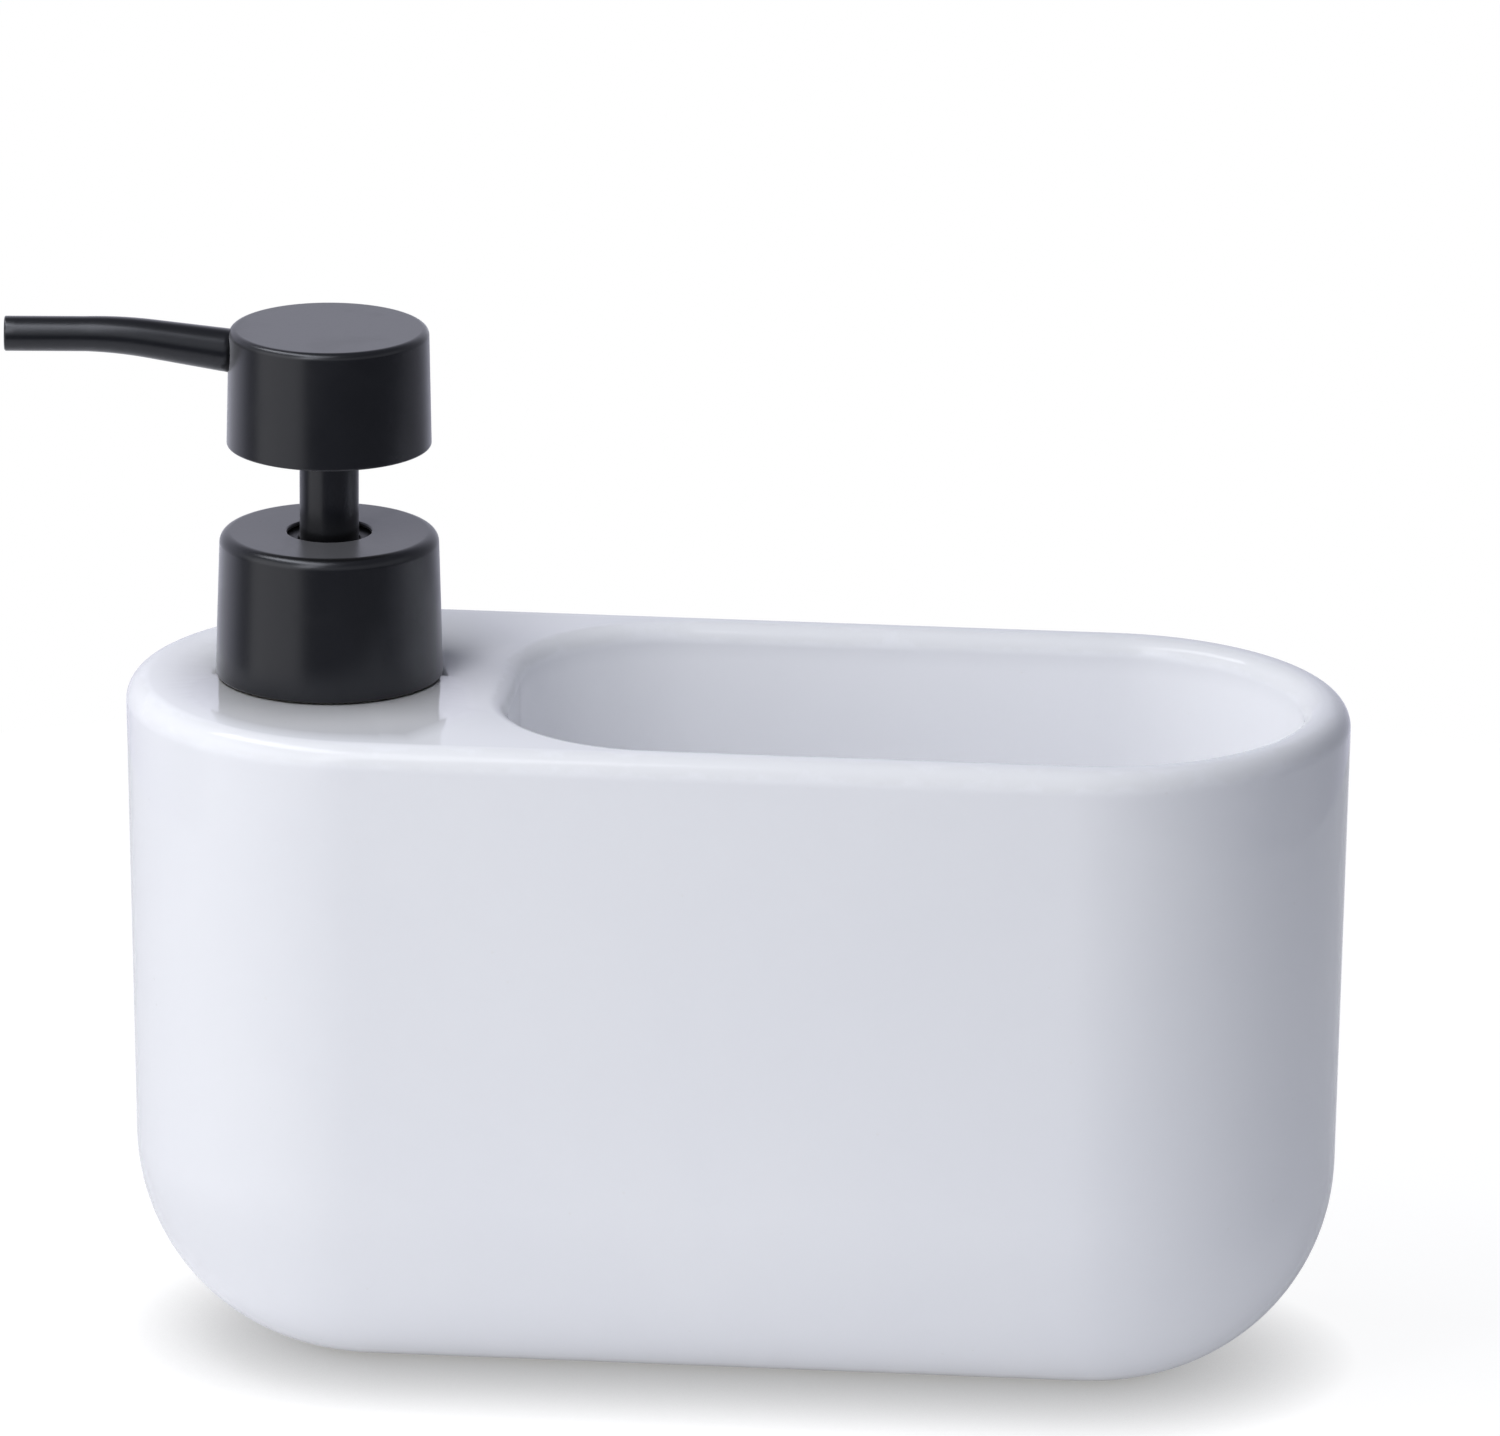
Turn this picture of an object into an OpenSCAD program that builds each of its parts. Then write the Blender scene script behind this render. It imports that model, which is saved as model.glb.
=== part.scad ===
// Soap pump caddy: a glazed ceramic block that holds liquid soap under a
// screwed-on lotion pump, with an open well beside it for a sponge.
// Millimetres, +Z up. The origin is on the surface that the caddy stands on,
// under the middle of the body. The pump end is at -X and the front is at -Y.

/* [Body] */
// Length of the ceramic body, end to end
body_l = 180.5; // [168:0.5:240]
// Width of the ceramic body, front to back
body_w = 75; // [73:0.5:90]
// Height of the deck above the surface that the caddy stands on
body_h = 101.8; // [96:0.1:130]
// Radius of the big round between the sides and the base
base_round = 33; // [26:0.5:34]
// How much narrower each side is at the base round than at the deck
side_taper = 1.25; // [0.5:0.05:2]
// Height of the slice off the round that leaves the flat foot
foot_cut = 1.4; // [0.8:0.1:2.4]
// Radius of the outer edge of the deck and rim
rim_round = 3.6; // [2:0.1:3.7]
// Thickness of the outer walls and floors
wall_t = 6.2; // [4.5:0.1:7]
// Thickness of the deck under the pump
deck_t = 7; // [5:0.1:9]
// Inner radius where the deck meets the walls of the soap chamber
chamber_round = 5; // [2:0.5:8]

/* [Sponge well] */
// Distance from the axis of the pump to the wall of the well beside it
well_gap = 27.4; // [26.4:0.1:34.4]
// Thickness of the rim round the well
rim_t = 6.8; // [6.7:0.1:8]
// Radius of the well's upper edge
lip_round = 3; // [1:0.1:3]
// Radius of the well's two corners beside the pump
well_corner_r = 23.5; // [16:0.5:27]
// Depth of the well below the deck
well_depth = 44; // [30:0.5:50]
// Radius between the floor and the walls of the well
well_floor_r = 8; // [3:0.5:12]
// Thickness of the ceramic between the well and the soap chamber
divider_t = 6.4; // [4.5:0.1:7]

/* [Foot pad] */
// Width of the foot pad
pad_w = 20; // [12:0.5:22]
// Thickness of the foot pad
pad_t = 1.6; // [1.2:0.1:2.5]
// How far the pad stands out below the ceramic foot
pad_proud = 0.5; // [0.3:0.1:1]

/* [Mouth and threaded neck] */
// Distance from the end of the body to the axis of the pump
pump_end = 29.85; // [28.25:0.05:32.25]
// Diameter of the mouth through the deck
mouth_d = 29.2; // [29:0.1:30]
// Diameter of the plug of the neck insert
plug_d = 26.6; // [26:0.1:27]
// Diameter of the lip under the seal
plug_lip_d = 28; // [27.4:0.1:28.6]
// Thickness of the lip under the seal
plug_lip_t = 1.2; // [0.8:0.1:1.6]
// Depth of the neck insert below the deck
plug_depth = 7.6; // [7.2:0.1:10]
// Bore of the neck insert
neck_bore_d = 19.8; // [18.6:0.1:20.4]
// Diameter of the flange that rests on the deck
neck_flange_d = 31.4; // [31:0.1:31.8]
// Thickness of the flange that rests on the deck
neck_flange_t = 1.4; // [1:0.1:1.8]
// Diameter over the crests of the neck thread
thread_d = 27.4; // [27:0.1:27.6]
// Diameter of the neck under its thread
thread_root_d = 24.9; // [24.6:0.1:25.2]
// Rise of the thread in one turn
thread_pitch = 4.23; // [3.8:0.01:4.5]
// Turns of the thread
thread_turns = 1.25; // [1:0.05:1.3]
// Width of a thread ridge where it meets its wall
thread_base_w = 2.1; // [1.6:0.1:2.2]
// Width of a thread ridge at its crest
thread_crest_w = 1.1; // [0.8:0.1:1.4]
// Height of the start of the neck thread above the deck
thread_low = 6.1; // [5.6:0.1:7]

/* [Collar] */
// Diameter of the collar at the deck
collar_d = 33.5; // [33:0.1:35]
// Diameter of the collar at its top
collar_top_d = 32.3; // [32:0.1:32.9]
// Height of the top of the collar above the deck
collar_h = 21.8; // [21:0.1:26]
// Gap between the collar and the deck
collar_gap = 0.3; // [0.2:0.1:0.6]
// Radius of the shoulder of the collar
collar_round = 1.7; // [1:0.1:2]
// Thickness of the metal skin of the collar
collar_skin = 0.6; // [0.4:0.1:0.8]
// Diameter of the hole for the stem in the top of the collar
collar_hole_d = 12.5; // [11:0.1:14]
// Height of the lower edge of the screw cap above the deck
cap_lift = 2.2; // [2:0.1:2.4]
// Thickness of the top plate of the screw cap
cap_plate_t = 1.4; // [1:0.1:1.6]
// Height of the rim that carries the skin above that plate
cap_rim_h = 1.9; // [1.7:0.1:2.6]
// Diameter of the hole in the screw cap
cap_hole_d = 19.2; // [19.1:0.1:20]

/* [Pump barrel] */
// Bore of the pump barrel
barrel_bore_d = 14; // [13.6:0.1:14.2]
// Thickness of the barrel wall
barrel_wall_t = 1.2; // [0.9:0.1:1.3]
// Depth of the barrel floor below the deck
barrel_depth = 37; // [34:0.5:38]
// Diameter of the flange of the barrel
barrel_flange_d = 24.6; // [22:0.1:25]
// Thickness of the flange of the barrel
barrel_flange_t = 1.4; // [1:0.1:2]
// Thickness of the gasket under that flange
gasket_t = 1.2; // [0.8:0.1:1.6]
// Diameter of the ball chamber
ball_room_d = 6; // [5.8:0.1:6.4]
// Diameter of the inlet ball
ball_d = 5; // [4.8:0.1:5]
// Diameter of the ball seat
ball_seat_d = 3.8; // [3.4:0.1:4]
// Thickness of the web that the ball sits on
ball_web_t = 1.4; // [1:0.1:2]
// Outer diameter of the dip tube
dip_d = 6; // [5:0.1:6.4]
// Bore of the dip tube
dip_bore_d = 4.2; // [3:0.1:4.4]
// Depth of the socket that holds the dip tube
dip_socket_h = 9.6; // [7:0.1:12]
// Clearance between the dip tube and the chamber floor
dip_floor_gap = 3; // [2:0.5:8]

/* [Piston and stem] */
// Travel of the pump head
stroke = 12.5; // [8:0.5:12.5]
// Gap left between the head and the collar when the head is pressed down
head_stop_gap = 0.8; // [0.4:0.1:2]
// Diameter of the outer sleeve of the stem
sleeve_d = 8.7; // [8.4:0.1:9]
// Diameter of the inner stem
stem_d = 6.4; // [6.2:0.1:6.6]
// Bore of the inner stem
stem_bore_d = 3.6; // [3:0.1:3.8]
// Depth of the stem's valve flange below the deck
stem_drop = 8.2; // [8:0.1:8.6]
// Diameter of the stem's valve flange
stem_flange_d = 11.2; // [10.4:0.1:11.6]
// Thickness of the stem's valve flange
stem_flange_t = 1.8; // [1.4:0.1:2]
// Height of the piston
piston_h = 9.2; // [8.6:0.1:9.4]
// Play of the piston along the stem
piston_float = 0.8; // [0.5:0.1:1]
// Diameter of the spring wire
spring_wire_d = 0.9; // [0.7:0.05:0.95]
// Outer diameter of the return spring
spring_d = 10; // [9.8:0.1:10.4]
// Turns of the return spring
spring_turns = 9; // [7:1:9]
// Thickness of the ball retainer
retainer_t = 1.8; // [1.4:0.1:2.2]
// Travel of the inlet ball
ball_lift = 0.75; // [0.4:0.05:1]

/* [Pump head] */
// Diameter of the head at its lower edge
head_d = 30.1; // [28:0.1:34]
// Diameter of the head at its top
head_top_d = 29.4; // [27.6:0.1:29.4]
// Height of the head
head_h = 17.6; // [17:0.1:22]
// Radius of the top edge of the head
head_round = 1.1; // [0.6:0.1:1.4]
// Thickness of the metal skin of the head
head_skin = 0.8; // [0.6:0.1:1]
// Depth of the sockets for the sleeve and the stem in the head
socket_h = 3.6; // [3:0.1:4.4]

/* [Spout] */
// Distance from the axis of the pump to the tip of the spout
spout_reach = 47.5; // [42:0.1:60]
// Diameter of the spout where it leaves the head
spout_root_d = 6.4; // [5.6:0.1:6.4]
// Diameter of the spout from the bend to the tip
spout_tip_d = 5.15; // [4.6:0.05:5.2]
// Bore of the spout
spout_bore_d = 3.7; // [3.2:0.1:3.8]
// Bore of the plastic liner in the spout
liner_bore_d = 2.5; // [1.6:0.1:2.6]
// Angle at which the spout rises out of the head
spout_rise = 8.5; // [5:0.5:9]
// Turn of the spout from the length of the body toward the front
spout_yaw = 6; // [-60:1:60]
// Distance from the axis of the pump to the start of the bend
bend_start = 26; // [22:0.5:28]
// Radius of the bend that brings the spout level
bend_r = 65; // [50:1:80]
// Depth of the centre of the spout's root below the top of the head
spout_root_drop = 3.5; // [3.3:0.05:4]

/* [Hidden] */

// Overrun of a cutting shape past the face that it opens
over = 1;
// Clearance on the radius of a pressed or seated pair
snug = 0.03;
// Clearance of a pair that only must not touch
slack = 0.05;
// Clearance on the radius of a sliding pair
run_fit = 0.05;
// Clearance on the radius of the loose guide round the sleeve
guide_fit = 0.08;
// Clearance between the two threads
thread_clear = 0.3;
// How deep a thread ridge is rooted in its wall
thread_root_in = 0.5;

// Steps in the round stretches
base_steps = 14;
edge_steps = 6;
corner_steps = 8;
plan_steps = 12;
turn_steps = 28;
sweep_sides = 28;
wire_sides = 6;
wire_steps = 16;
bend_steps = 6;
$fn = 96;

// Outline of the body: the side line is tangent to the rim and base rounds
end_r = body_w / 2;
span = body_l / 2 - end_r;
foot_z = pad_proud;
base_c_x = end_r - side_taper - base_round;
base_c_z = foot_z - foot_cut + base_round;
rim_c_x = end_r - rim_round;
rim_c_z = body_h - rim_round;
centres_d = norm([rim_c_x - base_c_x, rim_c_z - base_c_z]);
centres_a = atan2(rim_c_z - base_c_z, rim_c_x - base_c_x);
side_a = centres_a - acos((base_round - rim_round) / centres_d);
side_k = rim_c_x * cos(side_a) + rim_c_z * sin(side_a) + rim_round;
chamber_floor_z = foot_z + wall_t;
pump_x = body_l / 2 - pump_end;

// Plan of the sponge well
well_r = end_r - rim_t;
well_end_x = body_l / 2 - rim_t - well_r;
well_corner_x = well_corner_r + well_gap - pump_x;
well_corner_y = well_r - well_corner_r;
well_floor_z = body_h - well_depth;

// Heights above the deck, from the collar down to the neck
collar_plate_z = collar_h - collar_skin;
cap_plate_top = collar_plate_z - cap_rim_h;
cap_plate_low = cap_plate_top - cap_plate_t;
barrel_flange_low = cap_plate_low - barrel_flange_t;
neck_top = barrel_flange_low - gasket_t;
neck_bore_r = neck_bore_d / 2;
thread_gap_r = thread_d / 2 + thread_clear;

// Radii of the collar and its screw cap
collar_in_r = collar_top_d / 2 - collar_skin;
cap_side_gap = 0.15;
cap_r = collar_in_r - cap_side_gap;
cap_rim_r = collar_top_d / 2 - collar_round - cap_side_gap;
cap_rim_t = 2.6;

// Guide cap: plate, skirt, plug and long guide tube
guide_top_gap = 0.35;
guide_plate_t = 1;
guide_skirt_t = 0.95;
guide_tube_t = 1.45;
guide_plug_h = 4.3;
guide_top = collar_plate_z - guide_top_gap;
guide_plate_low = guide_top - guide_plate_t;
boss_t = 1.3;
barrel_r = barrel_bore_d / 2;
boss_r = barrel_r + boss_t;
sleeve_r = sleeve_d / 2;
guide_bore_r = sleeve_r + guide_fit;
guide_tube_r = guide_bore_r + guide_tube_t;

// Foot of the barrel, from its floor down to the dip tube
barrel_floor_z = -barrel_depth;
ball_sit_h = sqrt(pow(ball_d / 2, 2) - pow(ball_seat_d / 2, 2)) + slack;
ball_room_h = ball_sit_h + ball_d / 2 + ball_lift + 2 * slack;
ball_seat_z = barrel_floor_z - ball_room_h;
ball_rest_z = ball_seat_z + ball_sit_h;
ball_web_low = ball_seat_z - ball_web_t;
dip_socket_low = ball_web_low - dip_socket_h;
dip_socket_r = dip_d / 2 + snug;
dip_socket_wall_t = 1.6;
dip_low = chamber_floor_z - body_h + dip_floor_gap;
retainer_top = barrel_floor_z + retainer_t;

// Stem and piston at rest
stem_flange_top = -stem_drop;
stem_flange_low = stem_flange_top - stem_flange_t;
piston_low = stem_flange_top + slack;
piston_top = piston_low + piston_h;
sleeve_low = piston_top + piston_float + slack;
guide_low = sleeve_low + 3 * slack;
stem_r = stem_d / 2;
stem_pin_h = 2.4;
port_d = 1.8;
piston_groove = 1.1;
dip_cut_a = 30;

// Head and spout
head_low = collar_h + stroke + head_stop_gap;
head_top = head_low + head_h;
head_plate_z = head_top - head_skin;
insert_r = head_top_d / 2 - head_skin - 3 * snug;
insert_low = head_low + head_skin;
insert_wall_t = 1.3;
insert_plate_t = 1.5;
sleeve_top = insert_low + socket_h;
stem_top = sleeve_top + socket_h;
stem_boss_r = sleeve_r + insert_wall_t;
rib_t = 1.2;
ribs = 6;
spigot_r = spout_tip_d / 2;
spigot_in = 8.6;
liner_in = 6.6;
spout_root_z = head_top - spout_root_drop;
spout_root_u = head_top_d / 2;
head_side_slope = (head_d - head_top_d) / 2 / (head_h - head_round);
bend_c_u = bend_start + bend_r * sin(spout_rise);
bend_c_z = spout_z(bend_start) - bend_r * cos(spout_rise);
tip_edge = 0.25;

// Points of a round stretch about a centre
function arc(cx, cy, r, a0, a1, steps) =
    [for (i = [0:steps]) let (a = a0 + (a1 - a0) * i / steps) [cx + r * cos(a), cy + r * sin(a)]];

// The same outline on the other side of the axis, in the other order
function mirrored(points) = [for (i = [len(points) - 1:-1:0]) [-points[i][0], points[i][1]]];

// Half of the body's cross-section, drawn in by an inset
function body_half(inset, low_z, top_z, top_round) =
    let (
        low_r = base_round - inset,
        low_a = asin(max(-1, (low_z - base_c_z) / low_r)),
        top_c_z = top_z - top_round,
        top_c_x = (side_k - inset - top_round - top_c_z * sin(side_a)) / cos(side_a)
    )
    concat(
        [[0, low_z]],
        arc(base_c_x, base_c_z, low_r, low_a, side_a, base_steps),
        arc(top_c_x, top_c_z, top_round, side_a, 90, edge_steps),
        [[0, top_z]]
    );

// Half of the well's cross-section, out to a wall at radius r
function well_half(r) = concat(
    [[0, well_floor_z]],
    arc(r - well_floor_r, well_floor_z + well_floor_r, well_floor_r, -90, 0, corner_steps),
    arc(r + lip_round, body_h - lip_round, lip_round, 180, 90, edge_steps),
    [[r + lip_round, body_h + over], [0, body_h + over]]
);

// Height of the straight root of the spout at a distance from the pump's axis
function spout_z(u) = spout_root_z + (u - spout_root_u) * tan(spout_rise);

// Stations along the spout: distance, height and slope, level after the bend
function spout_path(u0, u1) = concat(
    [[u0, spout_z(u0), spout_rise]],
    [for (i = [0:bend_steps]) let (a = spout_rise * (1 - i / bend_steps))
        [bend_c_u - bend_r * sin(a), bend_c_z + bend_r * cos(a), a]],
    [[u1, bend_c_z + bend_r, 0]]
);

// Ring of points round a station of the spout
function ring(station, r) = [for (j = [0:sweep_sides - 1]) let (t = 360 * j / sweep_sides)
    [station[0] - r * cos(t) * sin(station[2]), r * sin(t), station[1] + r * cos(t) * cos(station[2])]];

// Triangles of a tube of rings with flat ends
function tube_faces(rings, sides) = concat(
    [for (j = [1:sides - 2]) [0, j + 1, j]],
    [for (i = [0:rings - 2], j = [0:sides - 1]) let (k = (j + 1) % sides)
        [i * sides + j, (i + 1) * sides + k, (i + 1) * sides + j]],
    [for (i = [0:rings - 2], j = [0:sides - 1]) let (k = (j + 1) % sides)
        [i * sides + j, i * sides + k, (i + 1) * sides + k]],
    [for (j = [1:sides - 2]) [(rings - 1) * sides, (rings - 1) * sides + j, (rings - 1) * sides + j + 1]]
);

module swept_tube(path, radii) {
    points = [for (i = [0:len(path) - 1]) each ring(path[i], radii[i])];
    polyhedron(points, tube_faces(len(path), sweep_sides));
}

// One thread ridge: four corners swept up the helix
module thread_ridge(root_r, crest_r, low_z) {
    steps = ceil(turn_steps * thread_turns);
    points = [for (i = [0:steps]) let (t = i / steps * thread_turns, a = 360 * t, z = low_z + t * thread_pitch)
        each [for (c = [
            [root_r, -thread_base_w / 2], [crest_r, -thread_crest_w / 2],
            [crest_r, thread_crest_w / 2], [root_r, thread_base_w / 2]
        ]) [c[0] * cos(a), c[0] * sin(a), z + c[1]]]];
    inward = crest_r < root_r;
    faces = tube_faces(steps + 1, 4);
    polyhedron(points, inward ? [for (f = faces) [f[2], f[1], f[0]]] : faces);
}

module at_pump() {
    translate([-pump_x, 0, body_h]) children();
}

module toward_spout() {
    rotate([0, 0, 180 + spout_yaw]) children();
}

// A rod along the straight root of the spout, between two distances
module spout_rod(r, u0, u1) {
    translate([u0, 0, spout_z(u0)]) rotate([0, 90 - spout_rise, 0])
        cylinder(r = r, h = (u1 - u0) / cos(spout_rise));
}

// Plate with round ends that follows the plan of the body
module foot_plate(r, low_z, high_z) {
    translate([0, 0, low_z]) linear_extrude(high_z - low_z)
        polygon(concat(arc(span, 0, r, -90, 90, base_steps), arc(-span, 0, r, 90, 270, base_steps)));
}

// A half outline turned round both ends of the body and drawn straight between
module stadium(half) {
    for (side = [-1, 1]) translate([side * span, 0, 0]) rotate([0, 0, -90 * side])
        rotate_extrude(angle = 180) polygon(half);
    translate([-span, 0, 0]) rotate([90, 0, 90])
        linear_extrude(2 * span) polygon(concat(half, mirrored(half)));
}

module soap_chamber() {
    jacket_r = well_corner_r + divider_t;
    jacket_y = well_corner_y + jacket_r;
    jacket_low = well_floor_z - wall_t;
    difference() {
        stadium(body_half(wall_t, chamber_floor_z, body_h - deck_t, chamber_round));
        translate([0, 0, jacket_low]) linear_extrude(body_h - jacket_low)
            polygon(concat(
                arc(well_corner_x, well_corner_y, jacket_r, 90, 180, plan_steps),
                arc(well_corner_x, -well_corner_y, jacket_r, 180, 270, plan_steps),
                [[body_l / 2, -jacket_y], [body_l / 2, jacket_y]]
            ));
    }
}

module sponge_well() {
    corner = well_half(well_corner_r);
    side = well_half(well_r);
    translate([well_end_x, 0, 0]) rotate([0, 0, -90]) rotate_extrude(angle = 180) polygon(side);
    translate([well_corner_x, 0, 0]) rotate([90, 0, 90])
        linear_extrude(well_end_x - well_corner_x) polygon(concat(side, mirrored(side)));
    translate([well_corner_x, well_corner_y, 0]) rotate([0, 0, 90])
        rotate_extrude(angle = 90) polygon(corner);
    translate([well_corner_x, -well_corner_y, 0]) rotate([0, 0, 180])
        rotate_extrude(angle = 90) polygon(corner);
    translate([well_corner_x, -well_corner_y, 0]) rotate([90, 0, 180])
        linear_extrude(2 * well_corner_y) polygon(corner);
}

// One piece of glazed ceramic: closed soap chamber, open sponge well and mouth
module ceramic_body() color("whitesmoke") difference() {
    stadium(body_half(0, foot_z, body_h, rim_round));
    soap_chamber();
    sponge_well();
    at_pump() translate([0, 0, -deck_t - over]) cylinder(d = mouth_d, h = deck_t + 2 * over);
    foot_plate(pad_w / 2 + slack, foot_z - over, pad_t);
}

// Soft pad in the recess of the foot
module base_pad() color("gainsboro") foot_plate(pad_w / 2, 0, pad_t);

// Plastic neck pushed into the mouth, with the thread for the collar
module neck_insert() color("ivory") at_pump() union() {
    rotate_extrude() polygon([
        [neck_bore_r, -plug_depth], [plug_lip_d / 2, -plug_depth],
        [plug_lip_d / 2, plug_lip_t - plug_depth], [plug_d / 2, plug_lip_t - plug_depth],
        [plug_d / 2, 0], [neck_flange_d / 2, 0], [neck_flange_d / 2, neck_flange_t],
        [thread_root_d / 2, neck_flange_t], [thread_root_d / 2, neck_top], [neck_bore_r, neck_top]
    ]);
    thread_ridge(thread_root_d / 2 - thread_root_in, thread_d / 2, thread_low);
}

// Ribbed silicone ring that grips the mouth
module mouth_seal() color("lightgrey") at_pump() {
    low = plug_lip_t - plug_depth + slack;
    high = -slack;
    ribs_n = 3;
    rib_h = (high - low) / ribs_n;
    in_r = plug_d / 2 + snug;
    rib_r = mouth_d / 2 - snug;
    groove_r = (in_r + rib_r) / 2;
    rotate_extrude() polygon(concat(
        [[in_r, low]],
        [for (i = [0:ribs_n - 1]) each [
            [groove_r, low + i * rib_h], [rib_r, low + (i + 0.5) * rib_h], [groove_r, low + (i + 1) * rib_h]
        ]],
        [[in_r, high]]
    ));
}

// Flat gasket between the neck and the flange of the pump
module neck_gasket() color("dimgray") at_pump() translate([0, 0, neck_top]) difference() {
    cylinder(d = barrel_flange_d, h = gasket_t);
    translate([0, 0, -over]) cylinder(r = barrel_r + barrel_wall_t + slack, h = gasket_t + 2 * over);
}

// Barrel with its flange, ball seat and dip tube socket
module pump_housing() color("white") at_pump() {
    barrel_out_r = barrel_r + barrel_wall_t;
    foot_r = dip_socket_r + dip_socket_wall_t;
    cone_low = barrel_floor_z - (barrel_out_r - foot_r);
    rotate_extrude() polygon([
        [dip_socket_r, dip_socket_low], [foot_r, dip_socket_low], [foot_r, cone_low],
        [barrel_out_r, barrel_floor_z], [barrel_out_r, barrel_flange_low],
        [barrel_flange_d / 2, barrel_flange_low], [barrel_flange_d / 2, cap_plate_low],
        [boss_r, cap_plate_low], [boss_r, guide_plate_low - slack], [barrel_r, guide_plate_low - slack],
        [barrel_r, barrel_floor_z], [ball_room_d / 2, barrel_floor_z], [ball_room_d / 2, ball_seat_z],
        [ball_seat_d / 2, ball_seat_z], [ball_seat_d / 2, ball_web_low], [dip_socket_r, ball_web_low]
    ]);
}

// Cap on the barrel that guides the stem, seen inside the collar's hole
module guide_cap() color("#3a3a3e") at_pump() {
    skirt_in_r = boss_r + snug;
    skirt_r = skirt_in_r + guide_skirt_t;
    plug_r = barrel_r - snug;
    plug_low = guide_plate_low - guide_plug_h;
    rotate_extrude() polygon([
        [guide_bore_r, guide_low], [guide_tube_r, guide_low], [guide_tube_r, plug_low],
        [plug_r, plug_low], [plug_r, guide_plate_low], [skirt_in_r, guide_plate_low],
        [skirt_in_r, cap_plate_low + slack], [skirt_r, cap_plate_low + slack],
        [skirt_r, guide_top], [guide_bore_r, guide_top]
    ]);
}

// Slotted disc that keeps the ball in and carries the spring
module ball_retainer() color("white") at_pump() {
    ring_r = spring_d / 2 - spring_wire_d - 2 * slack;
    ring_t = 0.9;
    hole_r = ring_r - ring_t;
    slot_w = 1.4;
    difference() {
        union() {
            translate([0, 0, barrel_floor_z]) cylinder(r = barrel_r - snug, h = retainer_t);
            translate([0, 0, retainer_top]) cylinder(r = ring_r, h = retainer_t);
        }
        translate([0, 0, retainer_top]) cylinder(r = hole_r, h = retainer_t + over);
        for (a = [0, 90]) rotate([0, 0, a]) translate([-hole_r, -slot_w / 2, barrel_floor_z - over])
            cube([2 * hole_r, slot_w, retainer_t + 2 * over]);
    }
}

// Suction tube, cut aslant just above the chamber floor
module dip_tube() color("white", 0.6) at_pump() difference() {
    translate([0, 0, dip_low]) cylinder(d = dip_d, h = ball_web_low - dip_low);
    translate([0, 0, dip_low - over]) cylinder(d = dip_bore_d, h = ball_web_low - dip_low + 2 * over);
    translate([-dip_d / 2, 0, dip_low]) rotate([0, dip_cut_a, 0]) translate([-dip_d, -dip_d, -2 * dip_d])
        cube([4 * dip_d, 2 * dip_d, 2 * dip_d]);
}

module inlet_ball() color("silver") at_pump() translate([0, 0, ball_rest_z]) sphere(d = ball_d);

// Painted metal skin of the collar
module collar_skin_shell() color("#1d1d20") at_pump() {
    low_r = collar_d / 2;
    top_r = collar_top_d / 2;
    in_round = collar_round - collar_skin;
    rotate_extrude() polygon(concat(
        [[low_r, collar_gap]],
        arc(top_r - collar_round, collar_h - collar_round, collar_round, 0, 90, edge_steps),
        [[collar_hole_d / 2, collar_h], [collar_hole_d / 2, collar_plate_z]],
        arc(top_r - collar_round, collar_h - collar_round, in_round, 90, 0, edge_steps),
        [[low_r - collar_skin, collar_gap]]
    ));
}

// Plastic screw cap inside the collar
module screw_cap() color("#26262a") at_pump() union() {
    rotate_extrude() polygon([
        [thread_gap_r, cap_lift], [cap_r, cap_lift], [cap_r, cap_plate_top],
        [cap_rim_r, cap_plate_top], [cap_rim_r, collar_plate_z], [cap_rim_r - cap_rim_t, collar_plate_z],
        [cap_rim_r - cap_rim_t, cap_plate_top], [cap_hole_d / 2, cap_plate_top],
        [cap_hole_d / 2, cap_plate_low], [thread_gap_r, cap_plate_low]
    ]);
    thread_ridge(thread_gap_r + thread_root_in, thread_root_d / 2 + thread_clear,
        thread_low - thread_pitch / 2);
}

// Wire coil between the ball retainer and the stem
module return_spring() color("silver") at_pump() {
    low = retainer_top + spring_wire_d / 2;
    high = stem_flange_low - spring_wire_d / 2;
    mean_r = (spring_d - spring_wire_d) / 2;
    steps = spring_turns * wire_steps;
    dead = 1 / spring_turns;
    points = [for (i = [0:steps]) let (
            t = i / steps, a = 360 * spring_turns * t,
            rise = min(1, max(0, (t - dead) / (1 - 2 * dead))),
            z = low + (t - rise * (1 - 2 * dead)) / (2 * dead) * 2 * spring_wire_d
                + rise * (high - low - 2 * spring_wire_d)
        ) each [for (j = [0:wire_sides - 1]) let (
            b = 360 * j / wire_sides, r = mean_r + spring_wire_d / 2 * cos(b)
        ) [r * cos(a), r * sin(a), z + spring_wire_d / 2 * sin(b)]]];
    polyhedron(points, tube_faces(steps + 1, wire_sides));
}

// Double-lipped piston that floats on the stem
module piston() color("#dfe6ea") at_pump() {
    lip_r = barrel_r - run_fit;
    waist_r = lip_r - piston_groove;
    bore_r = stem_r + run_fit;
    lip_h = piston_h / 4;
    rotate_extrude() polygon([
        [bore_r, piston_low], [waist_r, piston_low], [lip_r, piston_low + lip_h / 2],
        [lip_r, piston_low + lip_h], [waist_r, piston_low + 1.5 * lip_h],
        [waist_r, piston_top - 1.5 * lip_h], [lip_r, piston_top - lip_h],
        [lip_r, piston_top - lip_h / 2], [waist_r, piston_top], [bore_r, piston_top]
    ]);
}

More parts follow.
